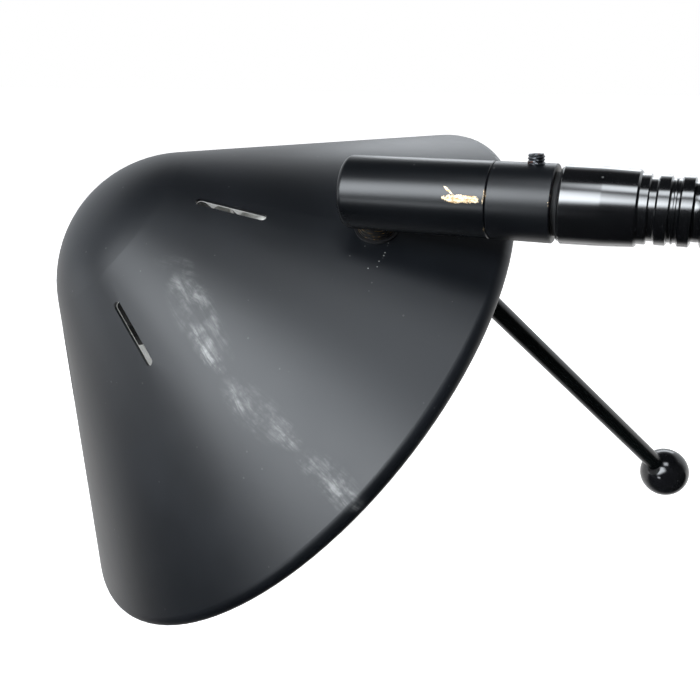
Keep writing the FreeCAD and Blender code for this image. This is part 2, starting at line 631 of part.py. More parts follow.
def weight_screw():
    """A knurled thumbscrew that pinches the counterweight to the arm."""
    tip = ARM_RADIUS + SEAT
    head = WEIGHT_RADIUS + THUMB_NECK
    top = head + THUMB_HEAD_HEIGHT
    points = [
        (tip, 0), (tip, THUMB_RADIUS), (head, THUMB_RADIUS), (head, THUMB_HEAD_RADIUS - 1),
        (head + 1, THUMB_HEAD_RADIUS), (top - 1, THUMB_HEAD_RADIUS), (top, THUMB_HEAD_RADIUS - 1), (top, 0),
    ]
    thumb = turned(points, Vector(WEIGHT_X, 0, ARM_HEIGHT), UP)
    flutes = 16
    for index in range(flutes):
        angle = 2 * math.pi * index / flutes
        offset = Vector(math.cos(angle), math.sin(angle), 0) * (THUMB_HEAD_RADIUS + 0.3)
        base = Vector(WEIGHT_X, 0, ARM_HEIGHT + head) + offset
        thumb = thumb.cut(rod(0.8, THUMB_HEAD_HEIGHT, base))
    return thumb


def make_arm():
    save("arm_block", arm_block())
    half = BOSS_WIDTH / 2
    near = pipe(BOSS_RADIUS - 1, BOLT_RADIUS + RUNNING, FRICTION_WASHER, Vector(0, half, PIVOT_Z), ACROSS)
    far = pipe(BOSS_RADIUS - 1, BOLT_RADIUS + RUNNING, FRICTION_WASHER, Vector(0, -half, PIVOT_Z), ACROSS * -1)
    save("friction_washers", near, far)
    tip = ARM_RADIUS + SEAT
    grubs = [grub_screw(BLOCK_SCREW_RADIUS, tip, BARREL_RADIUS, place, UP) for place in block_screw_places()]
    save("block_screws", *grubs)
    save("arm_tube", arm_tube())
    save("arm_cap", arm_cap())
    save("counterweight", counterweight())
    save("weight_screw", weight_screw())


# ---------------------------------------------------------------- flexible neck
def rib_outline(start, count):
    """Circles of ribs and of the beads in the grooves between them, as (distance along, radius)."""
    points = []
    for index in range(count):
        low = start + index * PITCH
        high = low + RIB_WIDTH
        points += [(low, GROOVE_RADIUS), (low + RIB_CHAMFER, RIB_RADIUS)]
        points += [(high - RIB_CHAMFER, RIB_RADIUS), (high, GROOVE_RADIUS)]
        if index < count - 1:
            middle = high + GROOVE_WIDTH / 2
            half = BEAD_WIDTH / 2
            points += [(middle - half, GROOVE_RADIUS), (middle - half / 2, BEAD_RADIUS)]
            points += [(middle + half / 2, BEAD_RADIUS), (middle + half, GROOVE_RADIUS)]
    return points


def neck_section(start_x):
    """One rigid stretch of the neck: ribs outside, a ball towards the arm, a socket towards the head."""
    base = Vector(start_x, 0, ARM_HEIGHT)
    body = ribbed(rib_outline(GROOVE_WIDTH / 2, RIBS_PER_SECTION), base, TOWARDS_HEAD)
    body = body.fuse(Part.makeSphere(BALL_RADIUS, base))
    body = body.cut(Part.makeSphere(SOCKET_SPHERE, base + TOWARDS_HEAD * SECTION_LENGTH))
    bore_start = base - TOWARDS_HEAD * (BALL_RADIUS + 1)
    return body.cut(rod(NECK_BORE, SECTION_LENGTH + BALL_RADIUS + 2, bore_start, TOWARDS_HEAD))


def ferrule_outline():
    """Outline of a ferrule from its last rib to its mouth, outside only."""
    barrel = FERRULE_BARREL_AT
    points = [(FERRULE_RIB_LENGTH, 0), (FERRULE_RIB_LENGTH, GROOVE_RADIUS)]
    points += [(FERRULE_RIB_LENGTH + STUB_GROOVE, GROOVE_RADIUS)]
    points += [(FERRULE_RIB_LENGTH + STUB_GROOVE, STUB_RADIUS - 0.2)]
    points += [(FERRULE_RIB_LENGTH + STUB_GROOVE + 0.3, STUB_RADIUS), (barrel, STUB_RADIUS)]
    points += [(barrel, FERRULE_NARROW - 0.4), (barrel + 0.5, FERRULE_NARROW)]
    points += [(barrel + FERRULE_LENGTH * 0.45, FERRULE_WIDE - 0.12)]
    points += [(barrel + FERRULE_LENGTH - FERRULE_CHAMFER, FERRULE_WIDE)]
    points += [(barrel + FERRULE_LENGTH, FERRULE_START)]
    return points


def rear_ferrule():
    """Ferrule on the arm: its socket holds the neck's first ball, its bore grips the arm."""
    points = ferrule_outline() + [(FERRULE_TOTAL, ARM_RADIUS + RUNNING)]
    points += [(FERRULE_TOTAL - REAR_GRIP, ARM_RADIUS + RUNNING), (FERRULE_TOTAL - REAR_GRIP, 0)]
    joint = Vector(REAR_JOINT_X, 0, ARM_HEIGHT)
    ribs = ribbed(rib_outline(GROOVE_WIDTH / 2, FERRULE_RIBS), joint, ALONG)
    body = turned(points, joint, ALONG).fuse(ribs).removeSplitter()
    body = body.cut(rod(NECK_BORE, FERRULE_TOTAL, joint, ALONG))
    body = body.cut(Part.makeSphere(SOCKET_SPHERE, joint))
    screw_hole = rod(SET_SCREW_RADIUS + RUNNING, FERRULE_WIDE + 1, rear_screw_place(), UP * -1)
    return body.cut(screw_hole)


def rear_screw_place():
    return Vector(-ARM_FRONT - FERRULE_LENGTH * 0.4, 0, ARM_HEIGHT)


def front_ferrule():
    """Ferrule at the head: a ball in the last socket, a spigot in the collar."""
    points = ferrule_outline()
    gap_end = FERRULE_TOTAL + COLLAR_GAP
    spigot_end = gap_end + FERRULE_SPIGOT_LENGTH
    points += [(FERRULE_TOTAL, COLLAR_GAP_RADIUS), (gap_end, COLLAR_GAP_RADIUS), (gap_end, FERRULE_SPIGOT)]
    points += [(spigot_end, FERRULE_SPIGOT), (spigot_end, 0)]
    joint = Vector(FRONT_JOINT_X, 0, ARM_HEIGHT)
    ribs = ribbed(rib_outline(GROOVE_WIDTH / 2, FERRULE_RIBS), joint, TOWARDS_HEAD)
    body = turned(points, joint, TOWARDS_HEAD).fuse([ribs, Part.makeSphere(BALL_RADIUS, joint)])
    body = body.removeSplitter()
    bore_start = joint - TOWARDS_HEAD * (BALL_RADIUS + 1)
    return body.cut(rod(NECK_BORE, spigot_end + BALL_RADIUS + 2, bore_start, TOWARDS_HEAD))


def make_neck():
    save("rear_ferrule", rear_ferrule())
    tip = ARM_RADIUS + SEAT
    flush = FERRULE_WIDE - 0.4
    save("rear_set_screw", grub_screw(SET_SCREW_RADIUS, tip, flush, rear_screw_place(), UP * -1))
    for index in range(SECTION_COUNT):
        start_x = REAR_JOINT_X - index * SECTION_LENGTH
        save("neck_section_%02d" % (index + 1), neck_section(start_x))
    save("front_ferrule", front_ferrule())


# ---------------------------------------------------------------- collar and knuckle
SWIVEL_RING_X = COLLAR_FRONT_X - SWIVEL_LENGTH + SWIVEL_GROOVE
SWIVEL_RING_DEPTH = 0.7


def neck_collar():
    """Turned collar: it grips the ferrule's spigot, and its own spigot turns in the knuckle."""
    points = [
        (0, FERRULE_SPIGOT + RUNNING), (0, TUBE_RADIUS - 0.25), (0.25, TUBE_RADIUS),
        (COLLAR_LENGTH - 0.25, TUBE_RADIUS), (COLLAR_LENGTH, TUBE_RADIUS - 0.25),
        (COLLAR_LENGTH, SWIVEL_RADIUS), (COLLAR_LENGTH + SWIVEL_LENGTH, SWIVEL_RADIUS),
        (COLLAR_LENGTH + SWIVEL_LENGTH, NECK_BORE), (FERRULE_SPIGOT_LENGTH + SEAT, NECK_BORE),
        (FERRULE_SPIGOT_LENGTH + SEAT, FERRULE_SPIGOT + RUNNING),
    ]
    collar = turned(points, Vector(COLLAR_REAR_X, 0, ARM_HEIGHT), TOWARDS_HEAD)
    groove_base = Vector(SWIVEL_RING_X, 0, ARM_HEIGHT)
    inner = SWIVEL_RADIUS - SWIVEL_RING_DEPTH
    collar = collar.cut(pipe(SWIVEL_RADIUS + 1, inner, RING_THICKNESS, groove_base, TOWARDS_HEAD))
    hole_base = Vector(SET_SCREW_X, 0, ARM_HEIGHT)
    return collar.cut(rod(SET_SCREW_RADIUS + RUNNING, TUBE_RADIUS + 1, hole_base))


def knuckle():
    """Closed brass tube: the collar's spigot turns in its end, the shade's post in its side."""
    length = KNUCKLE_SEAM + KNUCKLE_TIP
    start = Vector(SEAM_X, 0, ARM_HEIGHT)
    tip = start + TOWARDS_HEAD * length
    body = rod(TUBE_RADIUS, length, start, TOWARDS_HEAD)
    body = body.makeFillet(KNUCKLE_ROUND, rim_edges(body, TUBE_RADIUS, tip, ALONG))
    body = body.makeChamfer(0.2, rim_edges(body, TUBE_RADIUS, start, ALONG))
    bore_length = SWIVEL_LENGTH + OPEN
    body = body.cut(rod(SWIVEL_RADIUS + RUNNING, bore_length, start, TOWARDS_HEAD))
    ring_room = RING_THICKNESS + 2 * SEAT
    ring_base = Vector(SWIVEL_RING_X + SEAT, 0, ARM_HEIGHT)
    body = body.cut(rod(SWIVEL_RADIUS + SWIVEL_RING_DEPTH + OPEN, ring_room, ring_base, TOWARDS_HEAD))
    body = body.cut(rod(POST_BORE, KNUCKLE_SEAM, start, TOWARDS_HEAD))
    post_hole_length = POST_TOP + OPEN
    body = body.cut(rod(POST_RADIUS + RUNNING, post_hole_length, PIVOT_ON_WALL, OUTWARD))
    body = body.cut(rod(POST_BORE, TUBE_RADIUS + WALL_GAP, PIVOT_ON_WALL, OUTWARD))
    ring_low = PIVOT_ON_WALL + OUTWARD * (POST_RING_AT - SEAT)
    return body.cut(rod(POST_RADIUS + SWIVEL_RING_DEPTH + OPEN, ring_room, ring_low, OUTWARD))


def make_knuckle():
    save("neck_collar", neck_collar())
    ring_base = Vector(SWIVEL_RING_X, 0, ARM_HEIGHT)
    ring_outer = SWIVEL_RADIUS + SWIVEL_RING_DEPTH
    ring_inner = SWIVEL_RADIUS - SWIVEL_RING_DEPTH
    save("collar_ring", snap_ring(ring_outer, ring_inner, ring_base, TOWARDS_HEAD, UP))
    screw_centre = Vector(SET_SCREW_X, 0, ARM_HEIGHT)
    top = TUBE_RADIUS + SET_SCREW_RISE
    save("set_screw", grub_screw(SET_SCREW_RADIUS, FERRULE_SPIGOT + SEAT, top, screw_centre, UP))
    save("knuckle", knuckle())


# ---------------------------------------------------------------- shade pivot
def make_post():
    bottom = PIVOT_ON_WALL - OUTWARD * POST_TAIL
    post = pipe(POST_RADIUS, POST_BORE, POST_TOP + POST_TAIL, bottom, OUTWARD)
    groove_base = PIVOT_ON_WALL + OUTWARD * POST_RING_AT
    inner = POST_RADIUS - SWIVEL_RING_DEPTH
    post = post.cut(pipe(POST_RADIUS + 1, inner, RING_THICKNESS, groove_base, OUTWARD))
    save("shade_post", post)
    ring = snap_ring(POST_RADIUS + SWIVEL_RING_DEPTH, inner, groove_base, OUTWARD, SIDEWAYS)
    save("post_ring", ring)
    save("post_washer", pipe(POST_WASHER_RADIUS, POST_RADIUS + RUNNING, POST_WASHER, PIVOT_ON_WALL, OUTWARD))
    nut_base = PIVOT_ON_WALL - OUTWARD * (STACK_EYE + POST_NUT_HEIGHT)
    nut = hexagon(POST_NUT_FLATS, POST_NUT_HEIGHT, nut_base, OUTWARD)
    save("post_nut", nut.cut(rod(POST_RADIUS + RUNNING, POST_NUT_HEIGHT, nut_base, OUTWARD)))


# Depths inside the wall, measured inwards from its outer face at the pivot
STACK_BRACKET = SHADE_WALL + BRACKET_GAP
STACK_EYE_TOP = STACK_BRACKET + BRACKET_THICKNESS
STACK_EYE = STACK_EYE_TOP + EYE_THICKNESS


# ---------------------------------------------------------------- shade, in its own frame
def in_shade(shape):
    moved = shape.copy()
    moved.Placement = SHADE_PLACE.multiply(moved.Placement)
    return moved


def shade():
    """Spun cone with a round crown and a turned-in lip, six vent slots and the pivot's hole."""
    sine = math.sin(cone)
    cosine = math.cos(cone)
    crown_z = CROWN_RADIUS / sine
    lip_r = MOUTH_RADIUS - LIP_RADIUS
    lip_z = (lip_r + LIP_RADIUS * cosine) / math.tan(cone) + LIP_RADIUS * sine

    def at(centre_r, centre_z, radius, angle):
        return Vector(centre_r + radius * math.cos(angle), 0, centre_z + radius * math.sin(angle))

    def side(offset):
        crown = CROWN_RADIUS - offset
        lip = LIP_RADIUS - offset
        sweep = math.radians(LIP_SWEEP)
        top = Vector(0, 0, crown_z - crown)
        crown_mid = at(0, crown_z, crown, -math.pi / 4 - cone / 2)
        crown_end = at(0, crown_z, crown, -cone)
        lip_start = at(lip_r, lip_z, lip, -cone)
        lip_mid = at(lip_r, lip_z, lip, -cone + sweep / 2)
        lip_end = at(lip_r, lip_z, lip, -cone + sweep)
        edges = [
            Part.Arc(top, crown_mid, crown_end),
            Part.LineSegment(crown_end, lip_start),
            Part.Arc(lip_start, lip_mid, lip_end),
        ]
        return edges, top, lip_end

    outer, outer_top, outer_end = side(0)
    inner, inner_top, inner_end = side(SHADE_WALL)
    closing = [Part.LineSegment(outer_end, inner_end), Part.LineSegment(inner_top, outer_top)]
    edges = outer + [closing[0]] + inner[::-1] + [closing[1]]
    outline = Part.Wire(Part.__sortEdges__([edge.toShape() for edge in edges]))
    sheet = Part.Face(outline).revolve(Vector(0, 0, 0), UP, 360)
    for index in range(SLOT_COUNT):
        sheet = sheet.cut(slot_tool(SLOT_PHASE + 360 * index / SLOT_COUNT))
    hole_start = wall_point(0) - wall_normal() * 3
    return in_shade(sheet.cut(rod(POST_RADIUS + SEAT, 6, hole_start, wall_normal())))


def wall_normal():
    """Outwards through the wall at the pivot, in the shade's own frame."""
    return Vector(math.cos(cone), 0, -math.sin(cone))


def slope_line():
    return Vector(math.sin(cone), 0, math.cos(cone))


def wall_point(depth):
    """A point on the pivot's axis, this deep inside the wall's outer face."""
    return Vector(PIVOT_RADIAL, 0, PIVOT_AXIAL) - wall_normal() * depth


def slot_tool(azimuth):
    """A round-ended slot along the slope, as a cutter through the wall."""
    middle = slope_line() * SLOT_SLANT
    run = SLOT_LENGTH / 2 - SLOT_WIDTH / 2
    depth = SHADE_WALL * 4
    start = middle - wall_normal() * depth / 2
    ends = [rod(SLOT_WIDTH / 2, depth, start + slope_line() * side * run, wall_normal()) for side in (-1, 1)]
    across = ACROSS * (SLOT_WIDTH / 2)
    along = slope_line() * run
    corners = [start - along - across, start + along - across, start + along + across, start - along + across]
    bar = Part.Face(Part.makePolygon(corners + [corners[0]])).extrude(wall_normal() * depth)
    tool = bar.fuse(ends).removeSplitter()
    tool.rotate(Vector(0, 0, 0), UP, azimuth)
    return tool


def lamp_bracket():
    """A bent strip: it is clamped at the pivot, follows the wall, and carries the lampholder."""
    half = BRACKET_WIDTH / 2
    top = wall_point(STACK_BRACKET) + slope_line() * BRACKET_TAIL
    flat_z = BRACKET_FLOOR + BRACKET_THICKNESS
    slope_run = (top.z - flat_z) / slope_line().z
    knee = top - slope_line() * slope_run
    inner_offset = wall_normal() * BRACKET_THICKNESS
    lower_run = (knee.z - inner_offset.z - flat_z) / slope_line().z
    inner_knee = knee - inner_offset - slope_line() * lower_run
    outer_low = knee - slope_line() * (BRACKET_THICKNESS / slope_line().z)
    corners = [
        top, outer_low, Vector(0, 0, BRACKET_FLOOR), Vector(0, 0, flat_z), inner_knee, top - inner_offset,
    ]
    corners = [point - ACROSS * half for point in corners]
    strip = Part.Face(Part.makePolygon(corners + [corners[0]])).extrude(ACROSS * BRACKET_WIDTH)
    ring = rod(RING_RADIUS, BRACKET_THICKNESS, Vector(0, 0, BRACKET_FLOOR))
    bracket = strip.fuse(ring).removeSplitter()
    bracket = bracket.cut(rod(HOLDER_SKIRT + SEAT, 10, Vector(0, 0, BRACKET_FLOOR - 5)))
    return in_shade(bracket.cut(rod(POST_RADIUS + SEAT, 10, wall_point(STACK_BRACKET + 5), wall_normal())))


RING_Z = BRACKET_FLOOR + BRACKET_THICKNESS
HOLDER_WELL_Z = HOLDER_BACK + HOLDER_FLOOR


def lampholder_body():
    """Moulded holder: a barrel behind the bracket, and a skirt that passes through it."""
    rear = WIRE_BORE - 1
    points = [
        (HOLDER_BACK, rear), (HOLDER_BACK, HOLDER_RADIUS - HOLDER_EDGE), (HOLDER_BACK + HOLDER_EDGE, HOLDER_RADIUS),
        (BRACKET_FLOOR, HOLDER_RADIUS), (BRACKET_FLOOR, HOLDER_SKIRT), (HOLDER_FRONT - 0.8, HOLDER_SKIRT),
        (HOLDER_FRONT, HOLDER_SKIRT - 0.8), (HOLDER_FRONT, CAP_BORE + SEAT), (HOLDER_WELL_Z, CAP_BORE + SEAT),
        (HOLDER_WELL_Z, rear),
    ]
    return in_shade(turned(points, Vector(0, 0, 0), UP))


def lampholder_ring():
    """Ring nut on the skirt, which clamps the holder to the bracket."""
    points = [
        (RING_Z, HOLDER_SKIRT + RUNNING), (RING_Z, RING_RADIUS), (RING_Z + RING_NUT - 0.5, RING_RADIUS),
        (RING_Z + RING_NUT, RING_RADIUS - 0.5), (RING_Z + RING_NUT, HOLDER_SKIRT + RUNNING),
    ]
    return in_shade(turned(points, Vector(0, 0, 0), UP))


CAP_RIM_Z = HOLDER_FRONT - 1.5
CAP_LOW_Z = CAP_RIM_Z - BULB_CAP_LENGTH


def bulb_cap():
    """Screw cap of the bulb, with its contact button."""
    bore = BULB_NECK + SEAT
    button = HOLDER_WELL_Z
    slant = BULB_CAP_RADIUS * 0.35
    points = [
        (button, 0), (button, 4.5), (CAP_LOW_Z, 5.5), (CAP_LOW_Z + slant, BULB_CAP_RADIUS),
        (CAP_RIM_Z, BULB_CAP_RADIUS), (CAP_RIM_Z, bore), (CAP_LOW_Z + slant + 0.8, bore),
        (CAP_LOW_Z + slant + 0.8, 0),
    ]
    return in_shade(turned(points, Vector(0, 0, 0), UP))


def bulb_glass():
    """Small round bulb: a thin globe on a short neck that stands in the cap."""
    centre_z = CAP_RIM_Z + BULB_RISE
    neck_low = CAP_RIM_Z - 6

    def side(offset):
        globe = BULB_RADIUS - offset
        neck = BULB_NECK - offset
        flare = math.radians(35)
        joint = Vector(globe * math.sin(flare), 0, centre_z - globe * math.cos(flare))
        top = Vector(0, 0, centre_z + globe)
        middle = Vector(globe, 0, centre_z)
        low = Vector(neck, 0, neck_low)
        shoulder = Vector(neck, 0, CAP_RIM_Z + SEAT)
        edges = [Part.LineSegment(low, shoulder), Part.LineSegment(shoulder, joint), Part.Arc(joint, middle, top)]
        return edges, low, top

    outer, outer_low, outer_top = side(0)
    inner, inner_low, inner_top = side(BULB_WALL)
    closing = [Part.LineSegment(outer_top, inner_top), Part.LineSegment(inner_low, outer_low)]
    edges = [edge.toShape() for edge in outer + inner + closing]
    outline = Part.Wire(Part.__sortEdges__(edges))
    return in_shade(Part.Face(outline).revolve(Vector(0, 0, 0), UP, 360))


def handle_rod():
    """Bent rod: a flattened eye under the pivot's nut, a short bend, a straight run to the ball."""
    eye_base = wall_point(STACK_EYE)
    eye = rod(EYE_RADIUS, EYE_THICKNESS, eye_base, wall_normal())
    eye = eye.cut(rod(POST_RADIUS + SEAT, EYE_THICKNESS, eye_base, wall_normal()))
    middle = wall_point(STACK_EYE - EYE_THICKNESS / 2)
    root = Vector(HANDLE_ROOT_X, HANDLE_ROOT_Y, HANDLE_ROOT_Z)
    ball = Vector(HANDLE_BALL_X, HANDLE_BALL_Y, HANDLE_BALL_Z)
    run = ball - root
    run.normalize()
    straight = rod(HANDLE_RADIUS, (ball - root).Length - HANDLE_BALL + 3, root, run)
    to_root = root - middle
    to_root.normalize()
    start = middle + to_root * (POST_RADIUS + 1.5)
    link = rod(HANDLE_RADIUS * 0.9, (root - start).Length, start, to_root)
    flattened = link.common(rod(EYE_RADIUS * 3, EYE_THICKNESS, eye_base, wall_normal()))
    bend = Part.makeSphere(HANDLE_RADIUS, root)
    return in_shade(eye.fuse([flattened, bend, straight]).removeSplitter())


def handle_ball():
    root = Vector(HANDLE_ROOT_X, HANDLE_ROOT_Y, HANDLE_ROOT_Z)
    centre = Vector(HANDLE_BALL_X, HANDLE_BALL_Y, HANDLE_BALL_Z)
    run = centre - root
    run.normalize()
    ball = Part.makeSphere(HANDLE_BALL, centre)
    start = centre - run * (HANDLE_BALL + 1)
    return in_shade(ball.cut(rod(HANDLE_RADIUS + RUNNING, 4.2, start, run)))


def make_head():
    save("shade", shade())
    save("lamp_bracket", lamp_bracket())
    save("lampholder_body", lampholder_body())
    save("lampholder_ring", lampholder_ring())
    sleeve_base = Vector(0, 0, HOLDER_WELL_Z)
    sleeve = pipe(CAP_BORE, CAP_BORE - SLEEVE_WALL, HOLDER_FRONT - HOLDER_WELL_Z - 1, sleeve_base)
    save("lampholder_sleeve", in_shade(sleeve))
    save("bulb_cap", bulb_cap())
    save("bulb_glass", bulb_glass())
    save("handle_rod", handle_rod())
    save("handle_ball", handle_ball())


os.makedirs("parts", exist_ok=True)
make_base()
make_column()
make_fork()
make_arm()
make_neck()
make_knuckle()
make_post()
make_head()
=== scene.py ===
import math

import bmesh
import bpy
from mathutils import Matrix, Quaternion, Vector


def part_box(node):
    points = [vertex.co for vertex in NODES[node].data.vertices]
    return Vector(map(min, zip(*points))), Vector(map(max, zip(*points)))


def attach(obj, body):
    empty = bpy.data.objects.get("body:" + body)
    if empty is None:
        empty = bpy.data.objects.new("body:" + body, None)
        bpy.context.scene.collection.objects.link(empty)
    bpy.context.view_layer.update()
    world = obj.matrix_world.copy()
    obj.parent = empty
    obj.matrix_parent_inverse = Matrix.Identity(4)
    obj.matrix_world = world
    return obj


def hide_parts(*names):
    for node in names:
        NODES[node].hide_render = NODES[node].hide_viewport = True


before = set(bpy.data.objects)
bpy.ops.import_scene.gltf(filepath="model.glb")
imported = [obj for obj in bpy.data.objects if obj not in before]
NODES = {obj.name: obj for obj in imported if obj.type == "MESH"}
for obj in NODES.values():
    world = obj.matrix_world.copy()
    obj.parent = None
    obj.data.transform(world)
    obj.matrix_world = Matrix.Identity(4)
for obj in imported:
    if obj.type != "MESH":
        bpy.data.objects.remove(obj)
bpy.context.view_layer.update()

# ---------------------------------------------------------------- places, in metres
SHADE_POINT = Vector((-0.489271, -0.009527, 0.424702))     # the cone's apex, were it not rounded
SHADE_AXIS = Vector((0.544139, 0.489793, -0.681187))       # from the apex towards the mouth
SHADE_RADIAL = Vector((0.837063, -0.264338, 0.478584))     # from the axis towards the post
OUTWARD = Vector((0.214735, -0.531934, 0.819106))          # along the post, away from the shade's wall
CONE_ANGLE = math.radians(44.56)                           # between the axis and the wall's outside
CROWN_RADIUS = 0.0392
LIP_RING = 0.0885                                          # radius of the lip's middle line
LIP_RADIUS = 0.0030
LINING_FROM, LINING_TO = 0.00086, 0.00096                  # depth in the 1 mm sheet where the white begins
BRACKET_WHITE_FROM = 0.0030                                # where the bracket's painted shade gives way to white: past the axis, towards the post
FERRULE_MOUTH, FERRULE_CLEAN = -0.34720, -0.34690          # x of the ferrule's dull mouth and of its gloss

SENSOR = 36.0                                              # millimetres
FRAME_PIXELS = 700.0
FOCAL_PIXELS = 850.0
CAMERA_PLACE = Vector((-0.31689, -0.1967, 0.44987))
CAMERA_BACK = Vector((0.365797, -0.874792, 0.317697))
CAMERA_RIGHT = Vector((0.922585, 0.385794, 0.0))


# ---------------------------------------------------------------- node helpers
class Graph:
    """Short names for building a material's nodes."""

    def __init__(self, name):
        self.material = bpy.data.materials.new(name)
        self.material.use_nodes = True
        self.tree = self.material.node_tree
        self.tree.nodes.clear()
        self.out = self.tree.nodes.new("ShaderNodeOutputMaterial")
        self.coord = self.tree.nodes.new("ShaderNodeTexCoord").outputs["Object"]

    def node(self, kind, **settings):
        made = self.tree.nodes.new(kind)
        for key, value in settings.items():
            setattr(made, key, value)
        return made

    def join(self, source, target):
        if isinstance(source, bpy.types.NodeSocket):
            self.tree.links.new(source, target)
        else:
            target.default_value = source

    def math(self, operation, first, second=0.0, clamp=False):
        made = self.node("ShaderNodeMath", operation=operation, use_clamp=clamp)
        self.join(first, made.inputs[0])
        self.join(second, made.inputs[1])
        return made.outputs[0]

    def vector(self, operation, first, second=(0, 0, 0)):
        made = self.node("ShaderNodeVectorMath", operation=operation)
        self.join(first, made.inputs[0])
        self.join(second, made.inputs[1])
        return made.outputs["Value" if operation in ("LENGTH", "DOT_PRODUCT") else "Vector"]

    def noise(self, scale, detail=4.0, roughness=0.55, stretch=None, distortion=0.0):
        made = self.node("ShaderNodeTexNoise")
        made.inputs["Scale"].default_value = scale
        made.inputs["Detail"].default_value = detail
        made.inputs["Roughness"].default_value = roughness
        made.inputs["Distortion"].default_value = distortion
        if stretch is None:
            self.join(self.coord, made.inputs["Vector"])
        else:
            self.join(self.vector("MULTIPLY", self.coord, stretch), made.inputs["Vector"])
        return made.outputs["Fac"]

    def specks(self, scale, size, seed=0.0):
        """1 inside a few small round grains, 0 elsewhere."""
        made = self.node("ShaderNodeTexVoronoi")
        made.inputs["Scale"].default_value = scale
        self.join(self.vector("ADD", self.coord, (seed, seed * 0.7, seed * 0.3)), made.inputs["Vector"])
        near = self.remap(made.outputs["Distance"], size, size * 0.6, 0.0, 1.0)
        pick = self.node("ShaderNodeSeparateColor")
        self.join(made.outputs["Color"], pick.inputs[0])
        return self.math("MULTIPLY", near, self.remap(pick.outputs[0], 0.90, 0.94, 0.0, 1.0))

    def remap(self, value, low, high, to_low, to_high):
        made = self.node("ShaderNodeMapRange")
        made.interpolation_type = "SMOOTHSTEP"
        self.join(value, made.inputs["Value"])
        for name, number in zip(("From Min", "From Max", "To Min", "To Max"), (low, high, to_low, to_high)):
            made.inputs[name].default_value = number
        return made.outputs["Result"]

    def mix(self, amount, first, second):
        """Between two colours or two numbers."""
        plain = isinstance(second, float) or getattr(second, "type", "") == "VALUE"
        made = self.node("ShaderNodeMix", data_type="FLOAT" if plain else "RGBA")
        start = 2 if plain else 6
        self.join(amount, made.inputs[0])
        self.join(first, made.inputs[start])
        self.join(second, made.inputs[start + 1])
        return made.outputs[0 if plain else 2]

    def bump(self, height, strength, distance, previous=None):
        made = self.node("ShaderNodeBump")
        made.inputs["Strength"].default_value = strength
        made.inputs["Distance"].default_value = distance
        self.join(height, made.inputs["Height"])
        if previous is not None:
            self.join(previous, made.inputs["Normal"])
        return made.outputs["Normal"]

    def streaks(self, centre, way, normal, scale):
        """Noise drawn out along a direction on the surface, seven times as long as it is wide."""
        offset = self.vector("SUBTRACT", self.coord, tuple(centre))
        normal = Vector(normal).normalized()
        way = Vector(way).normalized()
        place = self.node("ShaderNodeCombineXYZ")
        drawn_out = ((way, scale * 0.14), (normal.cross(way), scale))
        for index, (line, part_scale) in enumerate(drawn_out):
            part = self.vector("DOT_PRODUCT", offset, tuple(line))
            self.join(self.math("MULTIPLY", part, part_scale), place.inputs[index])
        made = self.node("ShaderNodeTexNoise")
        for name, number in (("Scale", 1.0), ("Detail", 7.0), ("Roughness", 0.72), ("Distortion", 0.12)):
            made.inputs[name].default_value = number
        self.join(place.outputs[0], made.inputs["Vector"])
        return made.outputs["Fac"]

    def patch(self, centre, long_way, normal, long_reach, wide_reach, deep_reach, core):
        """A soft oval round a place on the surface: 1 in its core, 0 at its reach."""
        offset = self.vector("SUBTRACT", self.coord, tuple(centre))
        long_way = Vector(long_way).normalized()
        normal = Vector(normal).normalized()
        wide_way = normal.cross(long_way).normalized()
        terms = []
        for way, reach in ((long_way, long_reach), (wide_way, wide_reach), (normal, deep_reach)):
            part = self.vector("DOT_PRODUCT", offset, tuple(way))
            part = self.math("DIVIDE", part, reach)
            terms.append(self.math("MULTIPLY", part, part))
        total = self.math("ADD", self.math("ADD", terms[0], terms[1]), terms[2])
        return self.remap(total, 1.0, core, 0.0, 1.0)

    def shader(self, color, roughness, metallic=0.0, normal=None, **constants):
        made = self.node("ShaderNodeBsdfPrincipled")
        self.join(color, made.inputs["Base Color"])
        self.join(roughness, made.inputs["Roughness"])
        self.join(metallic, made.inputs["Metallic"])
        if normal is not None:
            self.join(normal, made.inputs["Normal"])
        for key, value in constants.items():
            self.join(value, made.inputs[key.replace("_", " ")])
        self.tree.links.new(made.outputs[0], self.out.inputs["Surface"])
        return self.material


def tint(red, green, blue):
    return (red, green, blue, 1.0)


RUST = tint(0.25, 0.07, 0.02)
DUST = tint(0.34, 0.34, 0.33)
RUBBED = tint(0.44, 0.44, 0.43)
BARE_DARK, BARE_BRIGHT = tint(0.36, 0.21, 0.09), tint(0.92, 0.76, 0.52)      # the brass under the paint
SCUFF_DEPTH, CHIP_DEPTH = 0.02, 0.004                                        # a mark's reach off its surface
BARE_ROUGHNESS, LINING_ROUGHNESS, MOUTH_ROUGHNESS = 0.46, 0.48, 0.7


